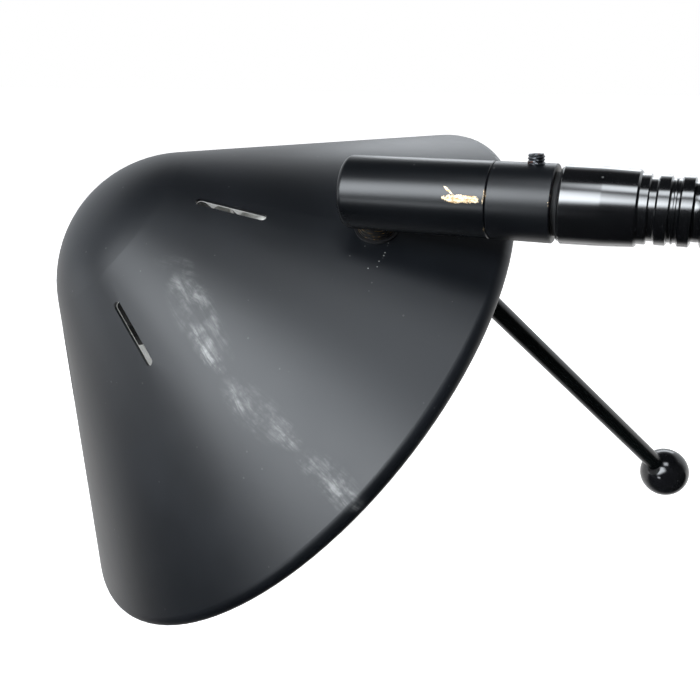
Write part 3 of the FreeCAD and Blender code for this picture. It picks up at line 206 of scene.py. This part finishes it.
# ---------------------------------------------------------------- paints
def paint(name, base, rough, spread, grain, dust, coat=0.0, shine=0.5, chips=(), scuffs=(), lint=(),
          lined=False, dull=None):
    """Sprayed paint: fine grain, slow changes in sheen and a little dust.

    chips bare the brass, scuffs are rubbed pale and lint is dust that lies close together. lined adds the
    shade's white inside, and dull gives two places along x, from which the gloss fades in.
    """
    graph = Graph(name)
    cloud = graph.noise(18.0, 5.0, 0.6)
    fine = graph.noise(900.0, 3.0, 0.6)
    hairs = graph.noise(60.0, 4.0, 0.7, stretch=(1.0, 4.0, 9.0))
    deep = tuple(value * 0.75 for value in base[:3]) + (1.0,)
    pale = tuple(min(1.0, value * 1.35 + 0.002) for value in base[:3]) + (1.0,)
    color = graph.mix(graph.remap(cloud, 0.3, 0.7, 0.0, 1.0), deep, pale)
    roughness = graph.remap(cloud, 0.25, 0.75, rough - spread, rough + spread)
    roughness = graph.math("ADD", roughness, graph.remap(hairs, 0.62, 0.8, 0.0, spread * 1.5))
    specks = graph.specks(420.0, 0.14, 3.1)
    larger = graph.specks(170.0, 0.035, 7.7)
    dusty = graph.math("MULTIPLY", graph.math("MAXIMUM", specks, larger), dust)
    for centre, way, normal, reach, width, strength, grain_scale in lint:
        area = graph.patch(centre, way, normal, reach, width, SCUFF_DEPTH, 0.0)
        near = graph.math("MULTIPLY", graph.specks(grain_scale, 0.36, 1.9), strength)
        near = graph.math("MULTIPLY", near, graph.remap(area, 0.05, 0.6, 0.0, 1.0))
        dusty = graph.math("MAXIMUM", dusty, near)
    color = graph.mix(dusty, color, DUST)
    metallic = 0.0
    for centre, way, normal, reach, width, strength, grain_scale in scuffs:
        area = graph.patch(centre, way, normal, reach, width, SCUFF_DEPTH, 0.0)
        rubbed = graph.streaks(centre, way, normal, grain_scale)
        broad = graph.noise(grain_scale * 0.4, 3.0, 0.6)
        amount = graph.math("MULTIPLY", area, graph.remap(broad, 0.38, 0.68, 0.1, 1.0))
        amount = graph.math("MULTIPLY", amount, graph.remap(rubbed, 0.42, 0.68, 0.12, 1.0))
        amount = graph.math("MULTIPLY", amount, strength, clamp=True)
        color = graph.mix(amount, color, RUBBED)
        roughness = graph.math("ADD", roughness, graph.math("MULTIPLY", amount, 0.2), clamp=True)
    height = fine
    for centre, way, normal, reach, width, threshold, grain_scale in chips:
        area = graph.patch(centre, way, normal, reach, width, CHIP_DEPTH, 0.15)
        ragged = graph.noise(grain_scale, 5.0, 0.7, distortion=0.8)
        raised = graph.math("ADD", ragged, graph.math("MULTIPLY", area, 0.36))
        bare = graph.remap(raised, threshold, threshold + 0.03, 0.0, 1.0)
        bare = graph.math("MULTIPLY", bare, graph.remap(area, 0.02, 0.1, 0.0, 1.0))
        worn = graph.remap(graph.noise(1900.0, 4.0, 0.7, stretch=(0.5, 1.0, 1.0)), 0.38, 0.62, 0.0, 1.0)
        color = graph.mix(bare, color, graph.mix(worn, BARE_DARK, BARE_BRIGHT))
        roughness = graph.mix(bare, roughness, BARE_ROUGHNESS)
        metallic = graph.math("MAXIMUM", metallic, graph.math("MULTIPLY", bare, 0.85))
        height = graph.math("SUBTRACT", height, graph.math("MULTIPLY", bare, 1.5))
    if lined:
        inside = lining_mask(graph)
        aged = graph.remap(cloud, 0.3, 0.75, 0.0, 1.0)
        warm = graph.mix(aged, tint(0.80, 0.79, 0.76), tint(0.70, 0.685, 0.64))
        white = graph.mix(graph.math("MULTIPLY", specks, 0.5), warm, tint(0.20, 0.18, 0.15))
        color = graph.mix(inside, color, white)
        roughness = graph.mix(inside, roughness, LINING_ROUGHNESS)
    normal = graph.bump(graph.noise(160.0, 2.0, 0.5), grain * 0.5, 0.0004)
    normal = graph.bump(height, grain, 0.0001, normal)
    if dull is not None:
        along_x = graph.vector("DOT_PRODUCT", graph.coord, (1.0, 0.0, 0.0))
        clean = graph.remap(along_x, dull[0], dull[1], 0.0, 1.0)
        roughness = graph.mix(clean, MOUTH_ROUGHNESS, roughness)
        coat = graph.math("MULTIPLY", clean, coat)
    return graph.shader(color, roughness, metallic, normal, Specular_IOR_Level=shine,
                        Coat_Weight=coat, Coat_Roughness=0.10, Coat_IOR=1.6)


def lining_mask(graph):
    """1 on the shade's inner face and 0 on its outside, by the depth below the outside of its sheet."""
    offset = graph.vector("SUBTRACT", graph.coord, tuple(SHADE_POINT))
    height = graph.vector("DOT_PRODUCT", offset, tuple(SHADE_AXIS))
    lift = graph.node("ShaderNodeVectorMath", operation="SCALE")
    graph.join(tuple(SHADE_AXIS), lift.inputs[0])
    graph.join(height, lift.inputs["Scale"])
    radius = graph.vector("LENGTH", graph.vector("SUBTRACT", offset, lift.outputs["Vector"]))

    def from_ring(ring_radius, ring_height, size):
        across = graph.math("SUBTRACT", radius, ring_radius)
        along = graph.math("SUBTRACT", height, ring_height)
        squares = (graph.math("MULTIPLY", part, part) for part in (across, along))
        return graph.math("SUBTRACT", size, graph.math("SQRT", graph.math("ADD", *squares)))

    sine, cosine = math.sin(CONE_ANGLE), math.cos(CONE_ANGLE)
    crown_end = CROWN_RADIUS / sine - CROWN_RADIUS * sine
    lip_start = (LIP_RING + LIP_RADIUS * cosine) * cosine / sine
    in_cone = graph.math("SUBTRACT", graph.math("MULTIPLY", height, sine),
                         graph.math("MULTIPLY", radius, cosine))
    in_crown = from_ring(0.0, CROWN_RADIUS / sine, CROWN_RADIUS)
    in_lip = from_ring(LIP_RING, lip_start + LIP_RADIUS * sine, LIP_RADIUS)
    depth = graph.mix(graph.math("LESS_THAN", height, crown_end), in_cone, in_crown)
    depth = graph.mix(graph.math("GREATER_THAN", height, lip_start), depth, in_lip)
    return graph.remap(depth, LINING_FROM, LINING_TO, 0.0, 1.0)


def metal(name, first, second, rough, scale, stretch=(1, 1, 1), rust=0.0, bump=0.05):
    """Bare metal with brushed or turned grain, tarnish and, where given, rust."""
    graph = Graph(name)
    grain = graph.noise(scale, 5.0, 0.65, stretch=stretch)
    blotch = graph.noise(90.0, 4.0, 0.6)
    color = graph.mix(graph.remap(blotch, 0.35, 0.7, 0.0, 1.0), first, second)
    roughness = graph.remap(grain, 0.3, 0.7, rough - 0.08, rough + 0.1)
    metallic = 1.0
    if rust:
        start = 0.60 - rust * 0.2
        spots = graph.remap(graph.noise(900.0, 6.0, 0.75), start, start + 0.08, 0.0, 1.0)
        color = graph.mix(spots, color, RUST)
        roughness = graph.mix(spots, roughness, 0.8)
        metallic = graph.math("SUBTRACT", 1.0, spots)
    return graph.shader(color, roughness, metallic, graph.bump(grain, bump, 0.0001))


def thread_with_painted_shade(name):
    """Brass with a 1 mm thread, bare on its crests in places; its near-black colour is partly blackening and
    partly painted shade for the gap under the knuckle.
    """
    graph = Graph(name)
    along_post = graph.vector("DOT_PRODUCT", graph.coord, tuple(OUTWARD))
    turn = graph.math("PINGPONG", graph.math("MULTIPLY", along_post, 2000.0), 1.0)
    crest = graph.remap(turn, 0.78, 0.95, 0.0, 1.0)
    worn = graph.remap(graph.noise(520.0, 4.0, 0.7), 0.50, 0.62, 0.0, 1.0)
    bare = graph.math("MULTIPLY", crest, worn)
    # near-black base: partly blackened brass, partly painted shade in the gap between knuckle and shade
    color = graph.mix(bare, tint(0.010, 0.0095, 0.009), tint(0.60, 0.38, 0.14))
    roughness = graph.mix(bare, 0.36, 0.30)
    normal = graph.bump(turn, 0.8, 0.0003)
    return graph.shader(color, roughness, bare, normal)


def moulded(name, base, rough, sheen=0.0, grain_scale=1200.0, bump=0.08, shine=0.5):
    """Plastic or rubber with fine mould grain and slow changes in gloss."""
    graph = Graph(name)
    grain = graph.noise(grain_scale, 3.0, 0.6)
    cloud = graph.noise(40.0, 4.0, 0.6)
    pale = tuple(min(1.0, value * 1.4 + 0.0006) for value in base[:3]) + (1.0,)
    color = graph.mix(graph.remap(cloud, 0.3, 0.7, 0.0, 1.0), base, pale)
    roughness = graph.remap(cloud, 0.3, 0.7, rough - 0.06, rough + 0.06)
    return graph.shader(color, roughness, 0.0, graph.bump(grain, bump, 0.0001),
                        Sheen_Weight=sheen, Specular_IOR_Level=shine)


def bracket_white_with_painted_shade(name):
    """Enamelled strip, white towards the post; the black round the far side of the lampholder is painted
    shade.
    """
    graph = Graph(name)
    grain = graph.noise(500.0, 4.0, 0.6)
    offset = graph.vector("SUBTRACT", graph.coord, tuple(SHADE_POINT))
    towards_post = graph.vector("DOT_PRODUCT", offset, tuple(SHADE_RADIAL))
    uneven = graph.math("ADD", towards_post, graph.remap(grain, 0.3, 0.7, -0.0005, 0.0005))
    white = graph.remap(uneven, BRACKET_WHITE_FROM, BRACKET_WHITE_FROM + 0.0004, 0.0, 1.0)
    pale = graph.mix(graph.remap(grain, 0.3, 0.7, 0.0, 1.0), tint(0.82, 0.81, 0.78), tint(0.74, 0.73, 0.69))
    # black side: painted shade round the far side of the lampholder, white enamel towards the post
    color = graph.mix(white, tint(0.0016, 0.0016, 0.0017), pale)
    return graph.shader(color, graph.mix(white, 0.6, 0.42), 0.0, graph.bump(grain, 0.06, 0.0001),
                        Specular_IOR_Level=0.3)


def felt(name):
    graph = Graph(name)
    fibres = graph.noise(1500.0, 8.0, 0.8, stretch=(1, 1, 3), distortion=1.5)
    clumps = graph.noise(300.0, 4.0, 0.7)
    color = graph.mix(fibres, tint(0.02, 0.02, 0.022), tint(0.09, 0.09, 0.095))
    normal = graph.bump(fibres, 0.9, 0.0005, graph.bump(clumps, 0.5, 0.0008))
    return graph.shader(color, graph.remap(clumps, 0.3, 0.7, 0.85, 1.0), 0.0, normal, Sheen_Weight=0.4)


def frosted_glass(name):
    graph = Graph(name)
    mist = graph.noise(60.0, 3.0, 0.5)
    color = graph.mix(mist, tint(0.93, 0.92, 0.88), tint(1.0, 0.99, 0.96))
    roughness = graph.remap(mist, 0.3, 0.7, 0.22, 0.34)
    normal = graph.bump(graph.noise(1400.0, 2.0), 0.08, 0.0001)
    return graph.shader(color, roughness, 0.0, normal, Transmission_Weight=0.35, IOR=1.46)


# ---------------------------------------------------------------- wear, at its places in the photograph
def mark(x, y, z, lean, reach, width, strength, grain_scale):
    """A mark on the shade, from a place in millimetres and a lean in degrees off straight down its slope."""
    place = Vector((x, y, z)) / 1000.0
    offset = place - SHADE_POINT
    radial = (offset - SHADE_AXIS * offset.dot(SHADE_AXIS)).normalized()
    sine, cosine = math.sin(CONE_ANGLE), math.cos(CONE_ANGLE)
    normal = radial * cosine - SHADE_AXIS * sine
    slope = radial * sine + SHADE_AXIS * cosine
    way = Matrix.Rotation(math.radians(lean), 3, normal) @ slope
    return (place, way, normal, reach, width, strength, grain_scale)


# x, y, z in millimetres, lean in degrees, reach and width in metres, strength, grain scale
SHADE_SCUFFS = (
    mark(-431.2, -22.4, 389.6, -12, 0.0165, 0.0066, 0.60, 420.0),
    mark(-427.4, -25.4, 383.0, -6, 0.0090, 0.0034, 1.10, 800.0),
    mark(-435.0, -19.4, 395.8, 12, 0.0080, 0.0036, 0.45, 700.0),
    mark(-440.0, -16.5, 400.5, 20, 0.0080, 0.0034, 0.16, 600.0),
    mark(-411.5, -30.3, 370.6, 6, 0.0130, 0.0060, 0.50, 500.0),
    mark(-416.4, -29.3, 373.0, -10, 0.0070, 0.0032, 0.70, 800.0),
    mark(-403.0, -31.5, 366.8, 4, 0.0065, 0.0034, 0.70, 800.0),
    mark(-389.7, -34.7, 358.1, 4, 0.0115, 0.0052, 0.70, 650.0),
    mark(-386.5, -35.3, 356.5, -4, 0.0060, 0.0032, 0.80, 900.0),
)

SHADE_LINT = (
    mark(-397.4, 1.1, 407.3, 70, 0.0070, 0.0030, 1.0, 1500.0),
    mark(-390.3, 1.6, 405.7, 80, 0.0060, 0.0025, 1.0, 1500.0),
    mark(-392.3, -2.1, 403.2, 60, 0.0050, 0.0030, 1.0, 1500.0),
)

# place, its long direction, the direction off the surface, reach, width, threshold of the noise, grain scale
KNUCKLE_CHIPS = (
    ((-0.36800, -0.00889, 0.42125), (1.0, 0.0, -0.03), (0, -1, 0.15), 0.0060, 0.0012, 0.74, 1100.0),
    ((-0.37060, -0.00889, 0.42085), (1.0, 0.0, -0.22), (0, -1, 0.15), 0.0030, 0.0009, 0.72, 1300.0),
    ((-0.37150, -0.00855, 0.42300), (1.0, 0.0, -0.80), (0, -1, 0.30), 0.0019, 0.0004, 0.72, 1300.0),
    ((-0.36315, -0.00880, 0.42200), (0.1, 0.0, 1.0), (0, -1, 0.0), 0.0026, 0.0004, 0.84, 1500.0),
    ((-0.36315, -0.00720, 0.41440), (0.1, 0.0, 1.0), (0, -1, -0.5), 0.0016, 0.0003, 0.86, 1500.0),
)

COLLAR_CHIPS = (
    ((-0.36285, -0.00890, 0.42180), (0.1, 0.0, 1.0), (0, -1, 0.0), 0.0030, 0.0003, 0.90, 1300.0),
    ((-0.34860, -0.00860, 0.42240), (0.1, 0.0, 1.0), (0, -1, 0.2), 0.0050, 0.0004, 0.93, 900.0),
)

# ---------------------------------------------------------------- materials and what wears them
PAINTS = {
    "shade_paint": dict(base=tint(0.0042, 0.0054, 0.0078), rough=0.40, spread=0.03, grain=0.08, dust=0.12,
                        scuffs=SHADE_SCUFFS, lined=True, lint=SHADE_LINT),
    "knuckle_paint": dict(base=tint(0.0014, 0.0020, 0.0030), rough=0.27, spread=0.03, grain=0.05, dust=0.16,
                          chips=KNUCKLE_CHIPS),
    "collar_paint": dict(base=tint(0.0018, 0.0024, 0.0036), rough=0.32, spread=0.05, grain=0.06, dust=0.25,
                         chips=COLLAR_CHIPS),
    "gloss": dict(base=tint(0.0020, 0.0022, 0.0028), rough=0.17, spread=0.03, grain=0.03, dust=0.3,
                  coat=1.0, shine=0.8),
    "ferrule": dict(base=tint(0.0016, 0.0018, 0.0024), rough=0.17, spread=0.03, grain=0.03, dust=0.3,
                    coat=1.0, shine=0.8, dull=(FERRULE_MOUTH, FERRULE_CLEAN)),
    "hose": dict(base=tint(0.0030, 0.0030, 0.0034), rough=0.15, spread=0.04, grain=0.03, dust=0.2,
                 coat=1.0, shine=0.7),
    "handle_paint": dict(base=tint(0.0010, 0.0020, 0.0020), rough=0.22, spread=0.03, grain=0.03, dust=0.1),
    "ball_paint": dict(base=tint(0.0040, 0.0042, 0.0050), rough=0.10, spread=0.02, grain=0.01, dust=0.1,
                       coat=0.3),
    "stand_paint": dict(base=tint(0.0120, 0.0125, 0.0135), rough=0.38, spread=0.05, grain=0.07, dust=0.35),
    "arm_paint": dict(base=tint(0.0130, 0.0130, 0.0140), rough=0.36, spread=0.06, grain=0.05, dust=0.2),
}

METALS = {
    "steel": dict(first=tint(0.42, 0.42, 0.43), second=tint(0.56, 0.55, 0.53), rough=0.34, scale=260.0,
                  stretch=(1, 1, 6)),
    "old_steel": dict(first=tint(0.12, 0.125, 0.135), second=tint(0.30, 0.31, 0.32), rough=0.40, scale=500.0,
                      rust=0.2, bump=0.3),
    "brass": dict(first=tint(0.60, 0.37, 0.12), second=tint(0.42, 0.25, 0.09), rough=0.34, scale=300.0),
    "cap_metal": dict(first=tint(0.72, 0.72, 0.71), second=tint(0.60, 0.59, 0.56), rough=0.28, scale=240.0,
                      stretch=(1, 1, 4)),
    "cast": dict(first=tint(0.07, 0.066, 0.062), second=tint(0.13, 0.12, 0.11), rough=0.62, scale=420.0,
                 rust=0.3, bump=0.6),
}

MOULDED = {
    "nylon": dict(base=tint(0.62, 0.61, 0.56), rough=0.42),
    "black_nylon": dict(base=tint(0.012, 0.012, 0.013), rough=0.45),
    "phenolic": dict(base=tint(0.0010, 0.0009, 0.0009), rough=0.45, shine=0.15),
    "button": dict(base=tint(0.010, 0.010, 0.011), rough=0.20),
    "rubber": dict(base=tint(0.014, 0.014, 0.014), rough=0.62, sheen=0.1, grain_scale=700.0, bump=0.25),
}

MATERIALS = {
    "post_thread_painted_shade": thread_with_painted_shade("post_thread_painted_shade"),
    "bracket_white_with_painted_shade": bracket_white_with_painted_shade("bracket_white_with_painted_shade"),
    "felt": felt("felt"),
    "glass": frosted_glass("glass"),
}
for recipe, looks in ((paint, PAINTS), (metal, METALS), (moulded, MOULDED)):
    for key, look in looks.items():
        MATERIALS[key] = recipe(key, **look)

FINISH = {
    "shade": "shade_paint",
    "knuckle": "knuckle_paint",
    "neck_collar": "collar_paint",
    "front_ferrule": "ferrule",
    "rear_ferrule": "gloss",
    "handle_rod": "handle_paint",
    "handle_ball": "ball_paint",
    "base_shell": "stand_paint",
    "ballast_disc": "cast",
    "base_plate": "steel",
    "base_pad": "felt",
    "base_screws": "steel",
    "switch_body": "phenolic",
    "switch_ring": "gloss",
    "switch_button": "button",
    "cable_gland": "rubber",
    "column_stud": "steel",
    "stud_washer": "steel",
    "stud_nut": "steel",
    "column_socket": "gloss",
    "column_tube": "arm_paint",
    "column_bush": "brass",
    "swivel_washer": "nylon",
    "fork": "stand_paint",
    "spigot_ring": "steel",
    "pivot_bolt": "stand_paint",
    "pivot_knob": "button",
    "arm_block": "stand_paint",
    "friction_washers": "nylon",
    "block_screws": "old_steel",
    "arm_tube": "arm_paint",
    "arm_cap": "gloss",
    "counterweight": "stand_paint",
    "weight_screw": "gloss",
    "rear_set_screw": "old_steel",
    "set_screw": "old_steel",
    "collar_ring": "steel",
    "shade_post": "post_thread_painted_shade",
    "post_ring": "steel",
    "post_washer": "black_nylon",
    "post_nut": "steel",
    "lamp_bracket": "bracket_white_with_painted_shade",
    "lampholder_body": "phenolic",
    "lampholder_sleeve": "brass",
    "lampholder_ring": "phenolic",
    "bulb_cap": "cap_metal",
    "bulb_glass": "glass",
}


NODE_CREASE, SCREW_CREASE = 28.0, 35.0        # degrees, above which an edge stays sharp


def dress_nodes():
    for name, node in NODES.items():
        finish = "hose" if name.startswith("neck_section") else FINISH[name]
        node.data.materials.clear()
        node.data.materials.append(MATERIALS[finish])
        smooth(node, NODE_CREASE)


def smooth(node, angle):
    mesh = node.data
    custom = mesh.attributes.get("custom_normal")
    if custom is not None:
        mesh.attributes.remove(custom)
    mesh.polygons.foreach_set("use_smooth", [True] * len(mesh.polygons))
    mesh.set_sharp_from_angle(angle=math.radians(angle))
    mesh.update()


# ---------------------------------------------------------------- screw threads
def along(axis, point, side):
    """A matrix that takes local +Z to axis, with its origin at point and its +X near side."""
    axis = Vector(axis).normalized()
    side = (Vector(side) - axis * Vector(side).dot(axis)).normalized()
    other = axis.cross(side)
    rows = ((side.x, other.x, axis.x, point[0]), (side.y, other.y, axis.y, point[1]),
            (side.z, other.z, axis.z, point[2]), (0, 0, 0, 1))
    return Matrix(rows)


def threaded_rod(name, radius, depth, pitch, length, socket_radius, socket_depth):
    """A closed screw: a helical ridge outside, and a hexagon socket in its top end."""
    mesh = bmesh.new()
    steps = 40
    rows_per_turn = 4
    levels = int(length / pitch * rows_per_turn)
    run_out = pitch * 0.6
    rings = []
    for level in range(levels + 1):
        ring = []
        for step in range(steps):
            angle = 2 * math.pi * step / steps
            height = level * length / levels
            phase = (height / pitch - step / steps) % 1.0
            ridge = 0.5 - 0.5 * math.cos(2 * math.pi * phase)
            fade = min(1.0, (length - height) / run_out, 0.15 + height / run_out)
            size = radius - depth + depth * ridge * max(0.0, fade)
            ring.append(mesh.verts.new((size * math.cos(angle), size * math.sin(angle), height)))
        rings.append(ring)
    for low, high in zip(rings, rings[1:]):
        for step in range(steps):
            after = (step + 1) % steps
            mesh.faces.new((low[step], low[after], high[after], high[step]))
    socket_top, socket_floor = [], []
    for step in range(steps):
        angle = 2 * math.pi * step / steps
        sector = (angle % (math.pi / 3)) - math.pi / 6
        size = socket_radius * math.cos(math.pi / 6) / math.cos(sector)
        place = (size * math.cos(angle), size * math.sin(angle))
        socket_top.append(mesh.verts.new((*place, length - depth * 0.4)))
        socket_floor.append(mesh.verts.new((*place, length - socket_depth)))
    for step in range(steps):
        after = (step + 1) % steps
        mesh.faces.new((rings[-1][step], rings[-1][after], socket_top[after], socket_top[step]))
        mesh.faces.new((socket_top[step], socket_top[after], socket_floor[after], socket_floor[step]))
    mesh.faces.new(socket_floor)
    mesh.faces.new(rings[0][::-1])
    bmesh.ops.recalc_face_normals(mesh, faces=mesh.faces)
    data = bpy.data.meshes.new(name)
    mesh.to_mesh(data)
    mesh.free()
    piece = bpy.data.objects.new(name, data)
    bpy.context.scene.collection.objects.link(piece)
    return piece


def put(piece, matrix, material, body):
    piece.data.transform(matrix)
    piece.data.materials.append(MATERIALS[material])
    smooth(piece, SCREW_CREASE)
    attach(piece, body)
    return piece


def collar_screw():
    """The collar's screw, which stands a little askew, with its thread and hexagon socket."""
    low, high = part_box("set_screw")
    centre = (low + high) / 2
    piece = threaded_rod("set_screw_thread", radius=0.0020, depth=0.00032, pitch=0.0007, length=high.z - low.z,
                         socket_radius=0.00115, socket_depth=0.0022)
    tilt = Vector((-0.035, -0.02, 1.0)).normalized()
    put(piece, along(tilt, (centre.x, centre.y, low.z), (1, 0, 0)), "old_steel", "collar")
    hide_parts("set_screw")


dress_nodes()
collar_screw()


# ---------------------------------------------------------------- studio
HEAD = Vector((-0.42, 0.0, 0.39))             # the middle of the lamp's head, which the softboxes face
TOWARDS_CAMERA = Vector((CAMERA_BACK.x, CAMERA_BACK.y, 0.0)).normalized()
BACKDROP, DIM = 0.92, 0.03                    # how bright the room is behind the lamp and before it
FLOOR_HALF = 14.0
GLOW_FROM, GLOW_FULL = 0.30, 1.10             # metres from the base's middle to where the floor is plain white
MIRROR_WHITE, MIRROR_DARK = -0.33, -0.02      # where gloss sees the floor so: metres towards the camera
WHITE = tint(1.0, 1.0, 1.0)

# name, degrees right of the camera and above the horizon, metres from the head, width, height, watts,
# degrees of roll, and the share of the panel over which its rim fades
SOFTBOXES = (
    ("key", -41.0, 25.0, 1.6, 2.0, 1.25, 82.0, 42.0, 0.35),
    ("key_high", -8.0, 64.0, 1.6, 0.85, 0.75, 15.0, 0.0, 0.4),
    ("low", -40.0, -14.0, 1.2, 0.42, 0.26, 2.6, 0.0, 0.4),
    ("left", -88.0, -2.0, 1.6, 1.1, 0.9, 6.0, 0.0, 0.4),
    ("rear", 160.0, 26.0, 2.0, 1.4, 0.6, 7.0, 0.0, 0.05),
)


def direction(turn, rise):
    """A direction from the lamp, by degrees to the right of the camera and above the horizon."""
    turn, rise = math.radians(turn), math.radians(rise)
    level = TOWARDS_CAMERA * math.cos(turn) + CAMERA_RIGHT * math.sin(turn)
    return level * math.cos(rise) + Vector((0, 0, 1)) * math.sin(rise)


def floor():
    """Pale paper that the camera sees glow to white, and gloss sees white behind the lamp, dark before it."""
    mesh = bmesh.new()
    bmesh.ops.create_grid(mesh, x_segments=1, y_segments=1, size=FLOOR_HALF)
    data = bpy.data.meshes.new("floor")
    mesh.to_mesh(data)
    mesh.free()
    ground = bpy.data.objects.new("floor", data)
    bpy.context.scene.collection.objects.link(ground)
    graph = Graph("floor_paper")
    paper = graph.node("ShaderNodeBsdfDiffuse")
    paper.inputs["Color"].default_value = tint(0.84, 0.84, 0.84)
    glow = graph.node("ShaderNodeEmission")
    glow.inputs["Color"].default_value = WHITE
    reach = graph.vector("LENGTH", graph.coord)
    graph.join(graph.remap(reach, GLOW_FROM, GLOW_FULL, 0.55, 1.0), glow.inputs["Strength"])
    bright = graph.node("ShaderNodeAddShader")
    graph.tree.links.new(paper.outputs[0], bright.inputs[0])
    graph.tree.links.new(glow.outputs[0], bright.inputs[1])
    mirrored = graph.node("ShaderNodeEmission")
    mirrored.inputs["Color"].default_value = WHITE
    offset = graph.vector("SUBTRACT", graph.coord, tuple(HEAD))
    ahead = graph.vector("DOT_PRODUCT", offset, tuple(TOWARDS_CAMERA))
    graph.join(graph.remap(ahead, MIRROR_WHITE, MIRROR_DARK, 0.95, 0.010), mirrored.inputs["Strength"])
    seen = graph.node("ShaderNodeLightPath")
    shown = graph.node("ShaderNodeMixShader")
    straight = graph.math("MAXIMUM", seen.outputs["Is Camera Ray"], seen.outputs["Is Transmission Ray"])
    graph.join(straight, shown.inputs[0])
    graph.tree.links.new(paper.outputs[0], shown.inputs[1])
    graph.tree.links.new(bright.outputs[0], shown.inputs[2])
    either = graph.node("ShaderNodeMixShader")
    graph.join(seen.outputs["Is Glossy Ray"], either.inputs[0])
    graph.tree.links.new(shown.outputs[0], either.inputs[1])
    graph.tree.links.new(mirrored.outputs[0], either.inputs[2])
    graph.tree.links.new(either.outputs[0], graph.out.inputs["Surface"])
    data.materials.append(graph.material)


def room():
    """White all round to the camera and through glass, and otherwise only behind the lamp."""
    world = bpy.data.worlds.new("room")
    bpy.context.scene.world = world
    world.use_nodes = True
    tree = world.node_tree
    tree.nodes.clear()

    def add(kind, **settings):
        made = tree.nodes.new(kind)
        for key, value in settings.items():
            setattr(made, key, value)
        return made

    def ramp(source, low, high, to_low, to_high):
        made = add("ShaderNodeMapRange", interpolation_type="SMOOTHSTEP")
        for name, number in (("From Min", low), ("From Max", high), ("To Min", to_low), ("To Max", to_high)):
            made.inputs[name].default_value = number
        tree.links.new(source, made.inputs["Value"])
        return made.outputs["Result"]

    out = add("ShaderNodeOutputWorld")
    back = add("ShaderNodeBackground")
    coord = add("ShaderNodeTexCoord")
    dot = add("ShaderNodeVectorMath", operation="DOT_PRODUCT")
    tree.links.new(coord.outputs["Generated"], dot.inputs[0])
    dot.inputs[1].default_value = TOWARDS_CAMERA
    parts = add("ShaderNodeSeparateXYZ")
    tree.links.new(coord.outputs["Generated"], parts.inputs[0])
    behind = ramp(dot.outputs["Value"], -0.36, 0.24, BACKDROP, DIM)
    below_ceiling = ramp(parts.outputs[2], 0.55, 0.85, 1.0, DIM)
    level = add("ShaderNodeMath", operation="MULTIPLY")
    tree.links.new(behind, level.inputs[0])
    tree.links.new(below_ceiling, level.inputs[1])
    seen = add("ShaderNodeLightPath")
    pick = add("ShaderNodeMix")
    straight = add("ShaderNodeMath", operation="MAXIMUM")
    tree.links.new(seen.outputs["Is Camera Ray"], straight.inputs[0])
    tree.links.new(seen.outputs["Is Transmission Ray"], straight.inputs[1])
    tree.links.new(straight.outputs[0], pick.inputs[0])
    tree.links.new(level.outputs[0], pick.inputs[2])
    pick.inputs[3].default_value = 1.0
    tree.links.new(pick.outputs[0], back.inputs["Strength"])
    hue = add("ShaderNodeMix", data_type="RGBA")
    tree.links.new(straight.outputs[0], hue.inputs[0])
    hue.inputs[6].default_value = tint(0.92, 0.96, 1.0)
    hue.inputs[7].default_value = WHITE
    tree.links.new(hue.outputs[2], back.inputs["Color"])
    tree.links.new(back.outputs[0], out.inputs["Surface"])


def soften(light, edge):
    """Fades a lit panel to dark towards its rim, over a share of its width and height."""
    light.use_nodes = True
    tree = light.node_tree
    place = tree.nodes.new("ShaderNodeNewGeometry")
    parts = tree.nodes.new("ShaderNodeSeparateXYZ")
    tree.links.new(place.outputs["Parametric"], parts.inputs[0])
    fades = []
    for index in (0, 1):
        nearest = tree.nodes.new("ShaderNodeMath")
        nearest.operation = "PINGPONG"
        nearest.inputs[1].default_value = 0.5
        tree.links.new(parts.outputs[index], nearest.inputs[0])
        fade = tree.nodes.new("ShaderNodeMapRange")
        fade.interpolation_type = "SMOOTHSTEP"
        fade.inputs["From Max"].default_value = edge
        tree.links.new(nearest.outputs[0], fade.inputs["Value"])
        fades.append(fade.outputs["Result"])
    both = tree.nodes.new("ShaderNodeMath")
    both.operation = "MULTIPLY"
    tree.links.new(fades[0], both.inputs[0])
    tree.links.new(fades[1], both.inputs[1])
    tree.links.new(both.outputs[0], tree.nodes["Emission"].inputs["Strength"])


def softbox(name, turn, rise, distance, width, height, power, roll, edge):
    light = bpy.data.lights.new(name, "AREA")
    light.shape = "RECTANGLE"
    light.size = width
    light.size_y = height
    light.energy = power
    light.color = (0.90, 0.95, 1.0)
    soften(light, edge)
    lamp = bpy.data.objects.new(name, light)
    bpy.context.scene.collection.objects.link(lamp)
    away = direction(turn, rise) * distance
    lamp.location = HEAD + away
    lamp.rotation_mode = "QUATERNION"
    lamp.rotation_quaternion = away.to_track_quat("Z", "Y") @ Quaternion((0, 0, 1), math.radians(roll))


def camera():
    data = bpy.data.cameras.new("camera")
    data.sensor_width = SENSOR
    data.lens = SENSOR * FOCAL_PIXELS / FRAME_PIXELS
    data.clip_start = 0.01
    data.clip_end = 60.0
    view = bpy.data.objects.new("camera", data)
    bpy.context.scene.collection.objects.link(view)
    upward = CAMERA_BACK.cross(CAMERA_RIGHT)
    rows = [(CAMERA_RIGHT[i], upward[i], CAMERA_BACK[i], CAMERA_PLACE[i]) for i in range(3)]
    view.matrix_world = Matrix(rows + [(0, 0, 0, 1)])
    bpy.context.scene.camera = view


floor()
room()
for panel in SOFTBOXES:
    softbox(*panel)
camera()
bpy.context.scene.view_settings.view_transform = "Standard"
